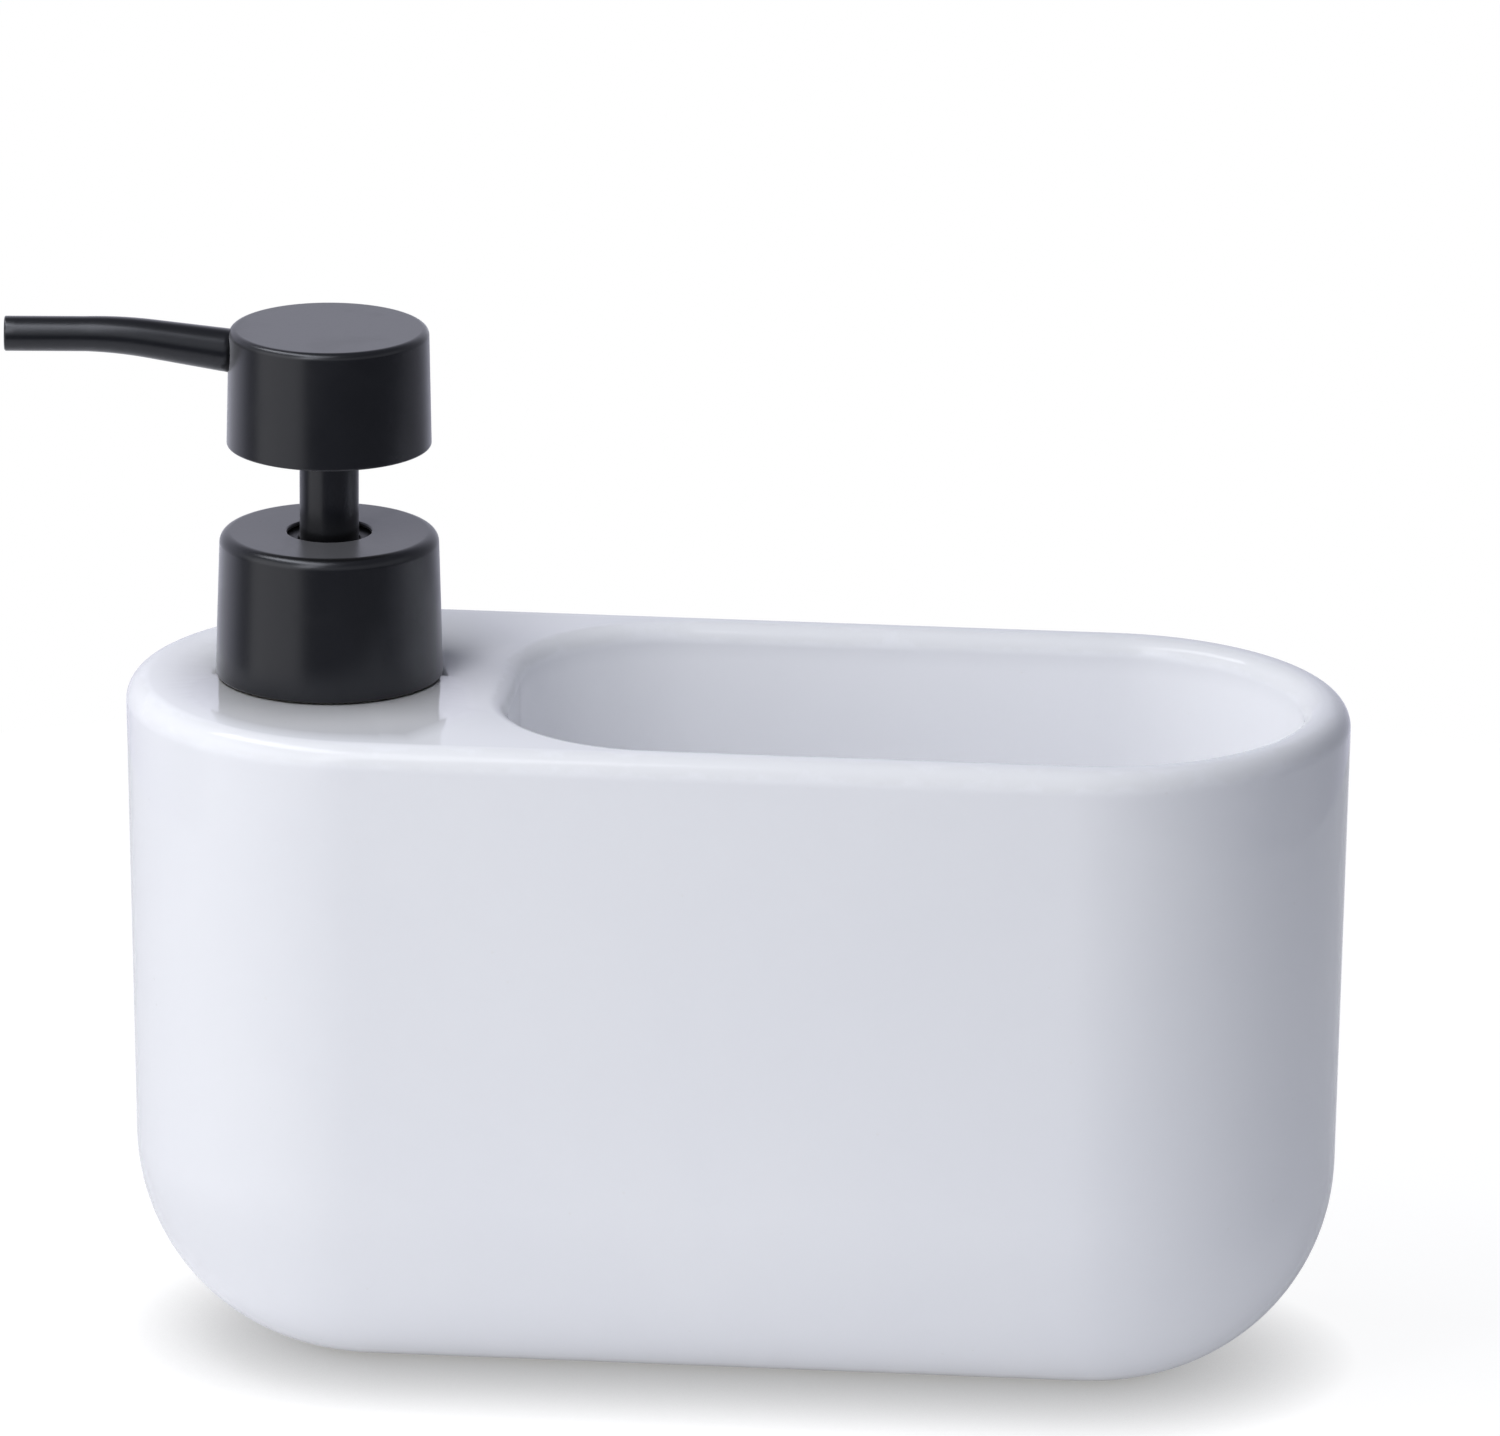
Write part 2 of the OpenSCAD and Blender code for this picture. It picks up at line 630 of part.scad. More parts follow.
// Hollow inner stem with the valve flange, side ports and spring pin
module piston_stem() color("white") at_pump() {
    port_z = stem_flange_top + port_d;
    pin_r = spring_d / 2 - spring_wire_d - 2 * slack;
    difference() {
        union() {
            translate([0, 0, stem_flange_low]) cylinder(r = stem_r, h = stem_top - stem_flange_low);
            translate([0, 0, stem_flange_low]) cylinder(d = stem_flange_d, h = stem_flange_t);
            translate([0, 0, stem_flange_low - stem_pin_h]) cylinder(r = pin_r, h = stem_pin_h);
        }
        translate([0, 0, stem_flange_top]) cylinder(d = stem_bore_d, h = stem_top - stem_flange_top + over);
        for (a = [0, 90]) translate([0, 0, port_z]) rotate([90, 0, a])
            cylinder(d = port_d, h = 2 * stem_d, center = true);
    }
}

// Black tube seen between the collar and the head
module stem_sleeve() color("#151517") at_pump() difference() {
    translate([0, 0, sleeve_low]) cylinder(r = sleeve_r, h = sleeve_top - sleeve_low);
    translate([0, 0, sleeve_low - over]) cylinder(r = stem_r + snug, h = sleeve_top - sleeve_low + 2 * over);
}

// Painted metal drum of the head, open below
module head_shell() color("#1d1d20") at_pump() difference() {
    rotate_extrude() polygon(concat(
        [[head_d / 2 - head_skin, head_low], [head_d / 2, head_low]],
        arc(head_top_d / 2 - head_round, head_top - head_round, head_round, 0, 90, edge_steps),
        [[0, head_top], [0, head_plate_z], [head_top_d / 2 - head_skin, head_plate_z]]
    ));
    toward_spout() spout_rod(spigot_r + snug, spigot_in, head_d);
}

// Plastic core of the head with the sockets and the soap channel
module head_insert() color("#2b2b2f") at_pump() difference() {
    intersection() {
        translate([0, 0, insert_low]) cylinder(r = insert_r, h = head_plate_z - insert_low);
        union() {
            difference() {
                translate([0, 0, insert_low]) cylinder(r = insert_r + over, h = head_h);
                translate([0, 0, insert_low - over])
                    cylinder(r = insert_r - insert_wall_t, h = head_plate_z - insert_plate_t - insert_low + over);
            }
            translate([0, 0, insert_low]) cylinder(r = stem_boss_r, h = head_h);
            for (i = [0:ribs - 1]) rotate([0, 0, spout_yaw + 360 * i / ribs])
                translate([sleeve_r, -rib_t / 2, insert_low + rib_t])
                    cube([insert_r - sleeve_r - rib_t / 2, rib_t, head_h]);
            toward_spout() spout_rod(spigot_r + rib_t, 0, insert_r);
        }
    }
    translate([0, 0, insert_low - over]) cylinder(r = sleeve_r + snug, h = socket_h + over);
    translate([0, 0, sleeve_top - over]) cylinder(r = stem_r + snug, h = socket_h + over);
    translate([0, 0, stem_top - over]) cylinder(d = stem_bore_d, h = spout_z(0) - stem_top + over);
    toward_spout() {
        spout_rod(liner_bore_d / 2, 0, spigot_in);
        spout_rod(spout_bore_d / 2, liner_in, spigot_in + over);
        spout_rod(spigot_r + snug, spigot_in, head_d);
    }
}

// Painted metal tube that tapers to its bend and runs level to the tip
module spout_tube() color("#1d1d20") at_pump() toward_spout() {
    path = spout_path(spout_root_u - head_skin, spout_reach - tip_edge);
    root_r = spout_root_d / 2;
    tip_r = spout_tip_d / 2;
    radii = [for (s = path) tip_r + (root_r - tip_r)
        * max(0, min(1, (bend_c_u - s[0]) / (bend_c_u - spout_root_u)))];
    tip = [spout_reach, path[len(path) - 1][1], 0];
    bore_path = spout_path(spigot_in - over, spout_reach + over);
    difference() {
        union() {
            difference() {
                swept_tube(concat(path, [tip]), concat(radii, [tip_r - tip_edge]));
                translate([0, 0, head_low]) cylinder(
                    r1 = head_d / 2 + snug,
                    r2 = head_d / 2 + snug - head_side_slope * head_h,
                    h = head_h
                );
            }
            spout_rod(spigot_r, spigot_in, spout_root_u + over);
        }
        swept_tube(bore_path, [for (s = bore_path) spout_bore_d / 2]);
    }
}

// Plastic liner that carries the soap to the tip
module spout_liner() color("#9a6a4c") at_pump() toward_spout() {
    path = spout_path(liner_in, spout_reach - slack);
    bore_path = spout_path(liner_in - over, spout_reach + over);
    difference() {
        swept_tube(path, [for (s = path) spout_bore_d / 2 - snug]);
        swept_tube(bore_path, [for (s = bore_path) liner_bore_d / 2]);
    }
}

ceramic_body();
base_pad();
neck_insert();
mouth_seal();
neck_gasket();
pump_housing();
guide_cap();
ball_retainer();
dip_tube();
inlet_ball();
collar_skin_shell();
screw_cap();
return_spring();
piston();
piston_stem();
stem_sleeve();
head_shell();
head_insert();
spout_tube();
spout_liner();
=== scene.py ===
"""Looks of the soap pump caddy: a glazed ceramic block with a sponge well and a black lotion pump.

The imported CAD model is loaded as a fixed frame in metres. Sizes in the classes below are in
millimetres, as in the part's source, and are turned into metres when a mesh is made.
"""

import logging
import math
from collections.abc import Sequence
from dataclasses import dataclass, field
from enum import Enum

import bmesh
import bpy
from mathutils import Matrix, Vector
from mathutils.geometry import delaunay_2d_cdt


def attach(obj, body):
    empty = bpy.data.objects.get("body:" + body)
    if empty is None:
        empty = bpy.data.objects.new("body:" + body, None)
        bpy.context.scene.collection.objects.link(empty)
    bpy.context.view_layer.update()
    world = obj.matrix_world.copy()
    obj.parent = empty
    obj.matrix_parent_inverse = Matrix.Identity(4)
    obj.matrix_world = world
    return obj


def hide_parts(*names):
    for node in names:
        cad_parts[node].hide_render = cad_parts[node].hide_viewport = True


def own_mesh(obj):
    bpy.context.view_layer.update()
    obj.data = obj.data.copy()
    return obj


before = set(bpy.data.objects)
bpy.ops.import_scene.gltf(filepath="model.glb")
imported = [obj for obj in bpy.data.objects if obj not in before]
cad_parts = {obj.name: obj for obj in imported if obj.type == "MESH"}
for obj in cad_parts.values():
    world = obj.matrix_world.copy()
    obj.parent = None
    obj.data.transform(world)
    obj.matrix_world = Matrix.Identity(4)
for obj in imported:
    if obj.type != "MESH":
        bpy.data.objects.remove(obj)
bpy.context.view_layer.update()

LOG = logging.getLogger("soap_pump_caddy")
MM = 0.001
EDGE = "edge"
SMOOTH = "smooth_normal"
TINY = 1e-6


class Body(Enum):
    """CAD bodies that pieces ride on."""

    CADDY = "caddy"
    PUMP = "pump_unit"
    COLLAR = "collar"
    SPRING_SEAT = "spring_seat"
    HEAD = "actuator"


class Slot(Enum):
    """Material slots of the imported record."""

    GLAZE = "glaze"
    FOOT_PAD = "foot_pad"
    IVORY = "ivory_plastic"
    SILICONE = "silicone"
    GASKET = "gasket"
    NATURAL = "natural_plastic"
    GUIDE = "guide_plastic"
    TUBE = "tube_plastic"
    STEEL = "steel"
    BLACK_PAINT = "black_paint"
    DARK = "dark_plastic"
    PISTON = "piston_plastic"
    LINER = "liner_plastic"


# ---------------------------------------------------------------- profiles and meshes


@dataclass(frozen=True)
class Corner:
    """A corner of a profile: two coordinates, its fillet and how much its edge is worn."""

    a: float
    z: float
    fillet: float = 0.0
    wear: float = 0.0


@dataclass(frozen=True)
class Station:
    """A point of a finished profile. A smooth one knows its outward direction."""

    a: float
    z: float
    out_a: float = 0.0
    out_z: float = 0.0
    wear: float = 0.0


def arc_stations(
    ca: float, cz: float, r: float, start: float, end: float, steps: int, wear: float = 0.0, inward: bool = False
) -> list[Station]:
    """Points of a round stretch of a profile.

    Args:
        ca: First coordinate of the centre.
        cz: Height of the centre.
        r: Radius.
        start: First angle in degrees.
        end: Last angle in degrees.
        steps: Number of steps.
        wear: Wear at the middle of the stretch.
        inward: True where the surface faces the centre.

    Returns:
        The stations, both ends included.
    """
    out = []
    for i in range(steps + 1):
        t = math.radians(start + (end - start) * i / steps)
        side = -1.0 if inward else 1.0
        share = wear * math.sin(math.pi * i / steps)
        out.append(Station(ca + r * math.cos(t), cz + r * math.sin(t), side * math.cos(t), side * math.sin(t), share))
    return out


def filleted(corners: Sequence[Corner], steps: int, closed: bool) -> list[Station]:
    """Rounds the corners of a profile that runs with its outside on the right.

    Args:
        corners: The corners in order.
        steps: Steps in each fillet.
        closed: True for a ring, false for a profile that starts and ends on the axis.

    Returns:
        The stations of the rounded profile.
    """
    count = len(corners)
    stations: list[Station] = []
    for i, corner in enumerate(corners):
        inner = closed or 0 < i < count - 1
        if corner.fillet <= 0 or not inner:
            stations.append(Station(corner.a, corner.z, wear=corner.wear))
            continue
        here = Vector((corner.a, corner.z))
        before, after = corners[i - 1], corners[(i + 1) % count]
        to_before = (Vector((before.a, before.z)) - here).normalized()
        to_after = (Vector((after.a, after.z)) - here).normalized()
        half = math.acos(max(-1.0, min(1.0, to_before.dot(to_after)))) / 2
        centre = here + (to_before + to_after).normalized() * (corner.fillet / math.sin(half))
        first = here + to_before * (corner.fillet / math.tan(half)) - centre
        last = here + to_after * (corner.fillet / math.tan(half)) - centre
        sweep = first.angle_signed(last)
        convex = 1.0 if to_before.x * to_after.y - to_before.y * to_after.x < 0 else -1.0
        for k in range(steps + 1):
            share = k / steps
            spoke = first.copy()
            spoke.rotate(Matrix.Rotation(-sweep * share, 2))
            out = spoke.normalized() * convex
            point = centre + spoke
            stations.append(Station(point.x, point.y, out.x, out.y, corner.wear * math.sin(math.pi * share)))
    return stations


@dataclass
class Shell:
    """Points, faces, smooth normals and edge wear of one piece while it is put together."""

    points: list[Vector] = field(default_factory=list)
    normals: list[Vector] = field(default_factory=list)
    wear: list[float] = field(default_factory=list)
    faces: list[tuple[int, ...]] = field(default_factory=list)

    def add(self, point: Vector, normal: Vector | None = None, wear: float = 0.0) -> int:
        """Adds one point in millimetres and returns its number.

        Args:
            point: The point in millimetres.
            normal: Outward direction where it is known.
            wear: Wear of the edge there.

        Returns:
            The number of the point.
        """
        self.points.append(point)
        self.normals.append(normal.normalized() if normal is not None and normal.length > TINY else Vector())
        self.wear.append(wear)
        return len(self.points) - 1

    def strip(self, low: Sequence[int], high: Sequence[int]) -> None:
        """Joins two rings of points with quads, or with triangles where one ring is a single point.

        Args:
            low: Numbers of the first ring.
            high: Numbers of the second ring.
        """
        count = max(len(low), len(high))
        for i in range(count):
            j = (i + 1) % count
            ring = [low[i % len(low)], low[j % len(low)], high[j % len(high)], high[i % len(high)]]
            face = tuple(dict.fromkeys(ring))
            if len(face) > 2:
                self.faces.append(face)

    def absorb(self, mesh: bpy.types.Mesh, centre: Vector) -> None:
        """Adds the points and faces of a mesh made in millimetres about a centre.

        Args:
            mesh: The mesh in millimetres.
            centre: Where its origin comes to lie.
        """
        start = len(self.points)
        for v in mesh.vertices:
            self.add(v.co + centre)
        self.faces += [tuple(start + n for n in face.vertices) for face in mesh.polygons]

    def piece(self, name: str, crease: float = 35.0) -> bpy.types.Object:
        """Turns the shell into a closed mesh object whose faces point outwards.

        Args:
            name: Name of the piece.
            crease: Angle in degrees above which an edge without a fillet stays sharp.

        Returns:
            The object, at the origin, with its place in its mesh.
        """
        mesh = bpy.data.meshes.new(name)
        mesh.from_pydata([p * MM for p in self.points], [], self.faces)
        stamp = mesh.attributes.new(EDGE, "FLOAT", "POINT")
        stamp.data.foreach_set("value", self.wear)
        smooth = mesh.attributes.new(SMOOTH, "FLOAT_VECTOR", "POINT")
        smooth.data.foreach_set("vector", [c for n in self.normals for c in n])
        work = bmesh.new()
        work.from_mesh(mesh)
        bmesh.ops.remove_doubles(work, verts=work.verts, dist=TINY)
        bmesh.ops.recalc_face_normals(work, faces=work.faces)
        work.to_mesh(mesh)
        work.free()
        finish_shading(mesh, crease)
        return link(bpy.data.objects.new(name, mesh))


def finish_shading(mesh: bpy.types.Mesh, crease: float) -> None:
    """Shades a mesh smooth, with its known normals where it has them and creases where it has none.

    Args:
        mesh: The mesh, in metres.
        crease: Angle in degrees above which an edge is sharp.
    """
    mesh.shade_smooth()
    mesh.set_sharp_from_angle(angle=math.radians(crease))
    flat = [0.0] * (3 * len(mesh.vertices))
    mesh.attributes[SMOOTH].data.foreach_get("vector", flat)
    mesh.attributes.remove(mesh.attributes[SMOOTH])
    mesh.normals_split_custom_set_from_vertices([tuple(flat[i : i + 3]) for i in range(0, len(flat), 3)])
    mesh.update()


def link(obj: bpy.types.Object) -> bpy.types.Object:
    """Puts an object into the scene and returns it."""
    bpy.context.scene.collection.objects.link(obj)
    return obj


def lathe(stations: Sequence[Station], centre: Vector, sides: int, closed: bool) -> Shell:
    """Turns a profile round an upright axis.

    Args:
        stations: The profile, radius first.
        centre: Foot of the axis in millimetres.
        sides: Number of sides.
        closed: True where the profile is a ring, false where both its ends lie on the axis.

    Returns:
        The turned shell.
    """
    shell = Shell()
    rows: list[list[int]] = []
    for s in stations:
        row = []
        for i in range(1 if s.a < TINY else sides):
            t = 2 * math.pi * i / sides
            out = Vector((math.cos(t), math.sin(t), 0))
            normal = out * s.out_a + Vector((0, 0, s.out_z))
            row.append(shell.add(centre + out * s.a + Vector((0, 0, s.z)), normal, s.wear))
        rows.append(row)
    for low, high in zip(rows, rows[1:]):
        shell.strip(low, high)
    if closed:
        shell.strip(rows[-1], rows[0])
    return shell


@dataclass(frozen=True)
class Spoke:
    """A stretch of an outline: a foot point, a direction and how far the outline lies from it."""

    foot: Vector
    out: Vector
    reach: float


def round_spokes(x: float, y: float, reach: float, start: float, end: float, steps: int) -> list[Spoke]:
    """Spokes of a round stretch of an outline, without its last one, so that stretches can follow each other.

    Args:
        x: Centre of the round along the block.
        y: Centre of the round across it.
        reach: Radius.
        start: First angle in degrees.
        end: Angle in degrees where the next stretch starts.
        steps: Number of steps.

    Returns:
        The spokes.
    """
    out = []
    for i in range(steps):
        t = math.radians(start + (end - start) * i / steps)
        out.append(Spoke(Vector((x, y, 0)), Vector((math.cos(t), math.sin(t), 0)), reach))
    return out


def straight_spokes(a: Vector, b: Vector, out: Vector, reach: float, steps: int) -> list[Spoke]:
    """Spokes of a straight stretch of an outline from foot a to foot b, without its last one."""
    return [Spoke(a.lerp(b, i / steps), out, reach) for i in range(steps)]


def loft(shell: Shell, spokes: Sequence[Spoke], stations: Sequence[Station], mirrored: bool = False) -> list[list[int]]:
    """Adds rows of points round an outline and joins them.

    Args:
        shell: The shell that gets the rows.
        spokes: The outline.
        stations: The profile; its first coordinate is the distance outwards from the outline.
        mirrored: True where the surface faces the middle of the outline.

    Returns:
        The numbers of the points of each row.
    """
    rows = []
    for s in stations:
        row = []
        for spoke in spokes:
            point = spoke.foot + spoke.out * (spoke.reach + s.a) + Vector((0, 0, s.z))
            normal = spoke.out * s.out_a + Vector((0, 0, s.out_z))
            row.append(shell.add(point, normal, s.wear))
        rows.append(row)
    for low, high in zip(rows, rows[1:]):
        shell.strip(*((high, low) if mirrored else (low, high)))
    return rows
# ---------------------------------------------------------------- shader trees


Socket = bpy.types.NodeSocket
Colour = tuple[float, float, float]
Span = tuple[float, float]


class Wiring:
    """Adds nodes to a shader or geometry tree and joins them."""

    def __init__(self, tree: bpy.types.NodeTree) -> None:
        """Keeps the tree that gets the nodes."""
        self.tree = tree

    def feed(self, socket: Socket, value: object) -> None:
        """Joins a socket to another one, or gives it a plain value.

        Args:
            socket: The input socket.
            value: The socket or the value that feeds it.
        """
        if isinstance(value, Socket):
            self.tree.links.new(value, socket)
        else:
            socket.default_value = value

    def add(self, kind: str, inputs: dict[str | int, object] | None = None, **settings: object) -> bpy.types.Node:
        """Adds a node.

        Args:
            kind: Type name of the node.
            inputs: Values or sockets by input name or number.
            **settings: Properties of the node.

        Returns:
            The node.
        """
        node = self.tree.nodes.new(kind)
        for name, value in settings.items():
            setattr(node, name, value)
        for name, value in (inputs or {}).items():
            self.feed(node.inputs[name], value)
        return node

    def math(self, operation: str, a: object, b: object = 0.0, clamp: bool = False) -> Socket:
        """Adds a Math node and returns its result."""
        return self.add("ShaderNodeMath", {0: a, 1: b}, operation=operation, use_clamp=clamp).outputs[0]

    def plus(self, a: object, b: object, clamp: bool = False) -> Socket:
        """Sum of two values."""
        return self.math("ADD", a, b, clamp)

    def minus(self, a: object, b: object) -> Socket:
        """Difference of two values."""
        return self.math("SUBTRACT", a, b)

    def times(self, a: object, b: object, clamp: bool = False) -> Socket:
        """Product of two values."""
        return self.math("MULTIPLY", a, b, clamp)

    def over(self, a: object, b: object, clamp: bool = False) -> Socket:
        """Quotient of two values."""
        return self.math("DIVIDE", a, b, clamp)

    def ranged(self, value: object, span: Span, to: Span = (0.0, 1.0), smooth: bool = False) -> Socket:
        """Adds a clamped Map Range node from one span to another and returns its result.

        Args:
            value: What is mapped.
            span: Its range.
            to: What the range becomes.
            smooth: True for soft ends.

        Returns:
            The mapped value.
        """
        kind = "SMOOTHSTEP" if smooth else "LINEAR"
        inputs = dict(enumerate((value, *span, *to)))
        return self.add("ShaderNodeMapRange", inputs, interpolation_type=kind).outputs[0]

    def blend(self, share: object, first: Socket | Colour, second: Socket | Colour) -> Socket:
        """Adds a colour Mix node and returns its result.

        Args:
            share: Share of the second colour.
            first: First colour.
            second: Second colour.

        Returns:
            The mixed colour.
        """
        node = self.add("ShaderNodeMix", data_type="RGBA", clamp_factor=True)
        for index, value in ((0, share), (6, first), (7, second)):
            self.feed(node.inputs[index], (*value, 1.0) if isinstance(value, tuple) else value)
        return node.outputs[2]

    def place(self, space: str = "Object") -> Socket:
        """Adds a Texture Coordinate node and returns one of its results."""
        return self.add("ShaderNodeTexCoord").outputs[space]

    def split(self, vector: Socket) -> tuple[Socket, Socket, Socket]:
        """X, Y and Z of a vector."""
        return tuple(self.add("ShaderNodeSeparateXYZ", {0: vector}).outputs)


class Effect(Enum):
    """Surface effects that several finishes share."""

    DRIFT = "broad_drift"
    GRAIN = "fine_grain"
    EDGE_WEAR = "edge_wear"
    HANDLING = "handling_marks"
    DUST = "settled_dust"


FALLING = (1.0, 0.0)


class EffectTree(Wiring):
    """Shader node group of one effect, made from the place on the surface and its own inputs."""

    def __init__(self, effect: Effect, result: str, **inputs: float) -> None:
        """Builds the group.

        Args:
            effect: Which effect.
            result: Name of its output.
            **inputs: Defaults of its inputs.
        """
        super().__init__(bpy.data.node_groups.new(effect.value, "ShaderNodeTree"))
        new_socket = self.tree.interface.new_socket
        for key, value in inputs.items():
            new_socket(name=key, in_out="INPUT", socket_type="NodeSocketFloat").default_value = value
        new_socket(name=result, in_out="OUTPUT", socket_type="NodeSocketFloat")
        self.value = self.add("NodeGroupInput").outputs
        self.here = self.place()
        recipes = {
            Effect.DRIFT: self.drift, Effect.GRAIN: self.grain, Effect.EDGE_WEAR: self.edge_wear,
            Effect.HANDLING: self.handling, Effect.DUST: self.dust,
        }
        self.add("NodeGroupOutput", {result: recipes[effect]()})

    def noise(self, **inputs: object) -> Socket:
        """Noise at the group's scale with its other inputs."""
        return self.add("ShaderNodeTexNoise", {"Vector": self.here, "Scale": self.value["Scale"]} | inputs).outputs[0]

    def cells(self) -> Socket:
        """Distance to the nearest of scattered points, at the group's scale."""
        return self.add("ShaderNodeTexVoronoi", {"Vector": self.here, "Scale": self.value["Scale"]}).outputs[0]

    def drift(self) -> Socket:
        """Slow change over a surface, 0 to 1."""
        return self.ranged(self.noise(Detail=self.value["Detail"], Distortion=self.value["Warp"]), (0.25, 0.75))

    def grain(self) -> Socket:
        """Fine grain of paint, plastic or glaze, as a height from 0 to 1."""
        fine = self.noise(Detail=3.0, Roughness=self.value["Roughness"])
        return self.plus(fine, self.times(self.cells(), self.value["Cells"]))

    def edge_wear(self) -> Socket:
        """Broken-up wear along the edges that carry the edge attribute.

        Returns:
            1 where the edge is worn, 0 elsewhere.
        """
        edge = self.add("ShaderNodeAttribute", attribute_type="GEOMETRY", attribute_name=EDGE).outputs["Fac"]
        threshold = self.times(self.minus(1.0, self.times(edge, self.value["Amount"])), 0.62)
        rise = self.times(self.minus(self.noise(Detail=5.0, Roughness=0.65), threshold), 9.0, clamp=True)
        return self.times(rise, self.ranged(edge, (0.15, 0.6)))

    def handling(self) -> Socket:
        """Faint smudges and fine scuffs from handling.

        Returns:
            The marks, 0 to 1.
        """
        stretch = self.add("ShaderNodeMapping", {
            "Vector": self.here, "Scale": (1.0, 1.0, 6.0), "Rotation": (0.6, 0.4, 0.2),
        }).outputs[0]
        wide = self.ranged(self.noise(Detail=4.0, Distortion=0.8), (0.48, 0.72), smooth=True)
        thin = self.ranged(self.noise(Vector=stretch, Scale=900.0, Detail=2.0), (0.62, 0.75), (0.0, 0.5))
        return self.times(self.plus(wide, thin, clamp=True), self.value["Amount"])

    def dust(self) -> Socket:
        """Specks that settle on surfaces that face up.

        Returns:
            1 on a speck, 0 elsewhere.
        """
        facing = self.split(self.add("ShaderNodeNewGeometry").outputs["Normal"])[2]
        spots = self.ranged(self.cells(), (0.05, 0.22), FALLING)
        return self.times(self.times(spots, self.ranged(facing, (0.6, 0.95))), self.value["Amount"])


EffectTrees = dict[Effect, bpy.types.NodeTree]


def shared_effects() -> EffectTrees:
    """Builds each shared effect once.

    Returns:
        The node group of each effect.
    """
    groups = {
        Effect.DRIFT: EffectTree(Effect.DRIFT, "Drift", Scale=12.0, Detail=2.0, Warp=0.4),
        Effect.GRAIN: EffectTree(Effect.GRAIN, "Height", Scale=1800.0, Roughness=0.55, Cells=0.3),
        Effect.EDGE_WEAR: EffectTree(Effect.EDGE_WEAR, "Mask", Scale=320.0, Amount=0.5),
        Effect.HANDLING: EffectTree(Effect.HANDLING, "Marks", Scale=60.0, Amount=0.5),
        Effect.DUST: EffectTree(Effect.DUST, "Mask", Scale=1400.0, Amount=0.2),
    }
    return {effect: group.tree for effect, group in groups.items()}


class Coat:
    """A material while it is built up in layers."""

    def __init__(self, name: str, effects: EffectTrees, **constants: object) -> None:
        """Starts the material with a plain shader.

        Args:
            name: Name of the material.
            effects: The shared effects.
            **constants: Values of the shader's own sockets, with _ for a space.
        """
        self.effects = effects
        self.material = bpy.data.materials.new(name)
        self.material.use_nodes = True
        self.material.node_tree.nodes.clear()
        self.wires = Wiring(self.material.node_tree)
        self.shader = self.wires.add("ShaderNodeBsdfPrincipled")
        self.wires.add("ShaderNodeOutputMaterial", {"Surface": self.shader.outputs[0]})
        for key, value in constants.items():
            self.shader.inputs[key.replace("_", " ")].default_value = value
        self.normal: Socket | None = None

    def effect(self, effect: Effect, **values: float) -> Socket:
        """Places a shared effect with its own values.

        Args:
            effect: Which effect.
            **values: Its inputs.

        Returns:
            The result of the effect.
        """
        node = self.wires.add("ShaderNodeGroup", node_tree=self.effects[effect])
        for key, value in values.items():
            node.inputs[key].default_value = value
        return node.outputs[0]

    def layer(self, share: object, under: Socket | Colour, colour: Colour) -> Socket:
        """Lays a colour over what is under it, and shows the result as the base colour.

        Args:
            share: Share of the colour that covers.
            under: What is under it.
            colour: The colour that covers.

        Returns:
            The result, for the next layer.
        """
        mixed = self.wires.blend(share, under, colour)
        self.wires.feed(self.shader.inputs["Base Color"], mixed)
        return mixed

    def roughen(self, base: float, scale: float, share: float) -> Socket:
        """Makes the roughness, with handling marks.

        Args:
            base: Roughness of the clean surface.
            scale: Scale of the marks.
            share: How much rougher a mark is.

        Returns:
            The roughness.
        """
        marks = self.effect(Effect.HANDLING, Scale=scale, Amount=1.0)
        rough = self.wires.plus(base, self.wires.times(marks, share))
        self.wires.feed(self.shader.inputs["Roughness"], rough)
        return rough

    def relief(self, height: Socket, depth: float) -> None:
        """Lays a relief over any that there is.

        Args:
            height: Height from 0 to 1.
            depth: Depth in millimetres.
        """
        bump = self.wires.add("ShaderNodeBump", {"Strength": 1.0, "Distance": depth * MM, "Height": height})
        if self.normal is not None:
            self.wires.feed(bump.inputs["Normal"], self.normal)
        self.normal = bump.outputs[0]
        self.wires.feed(self.shader.inputs["Normal"], self.normal)


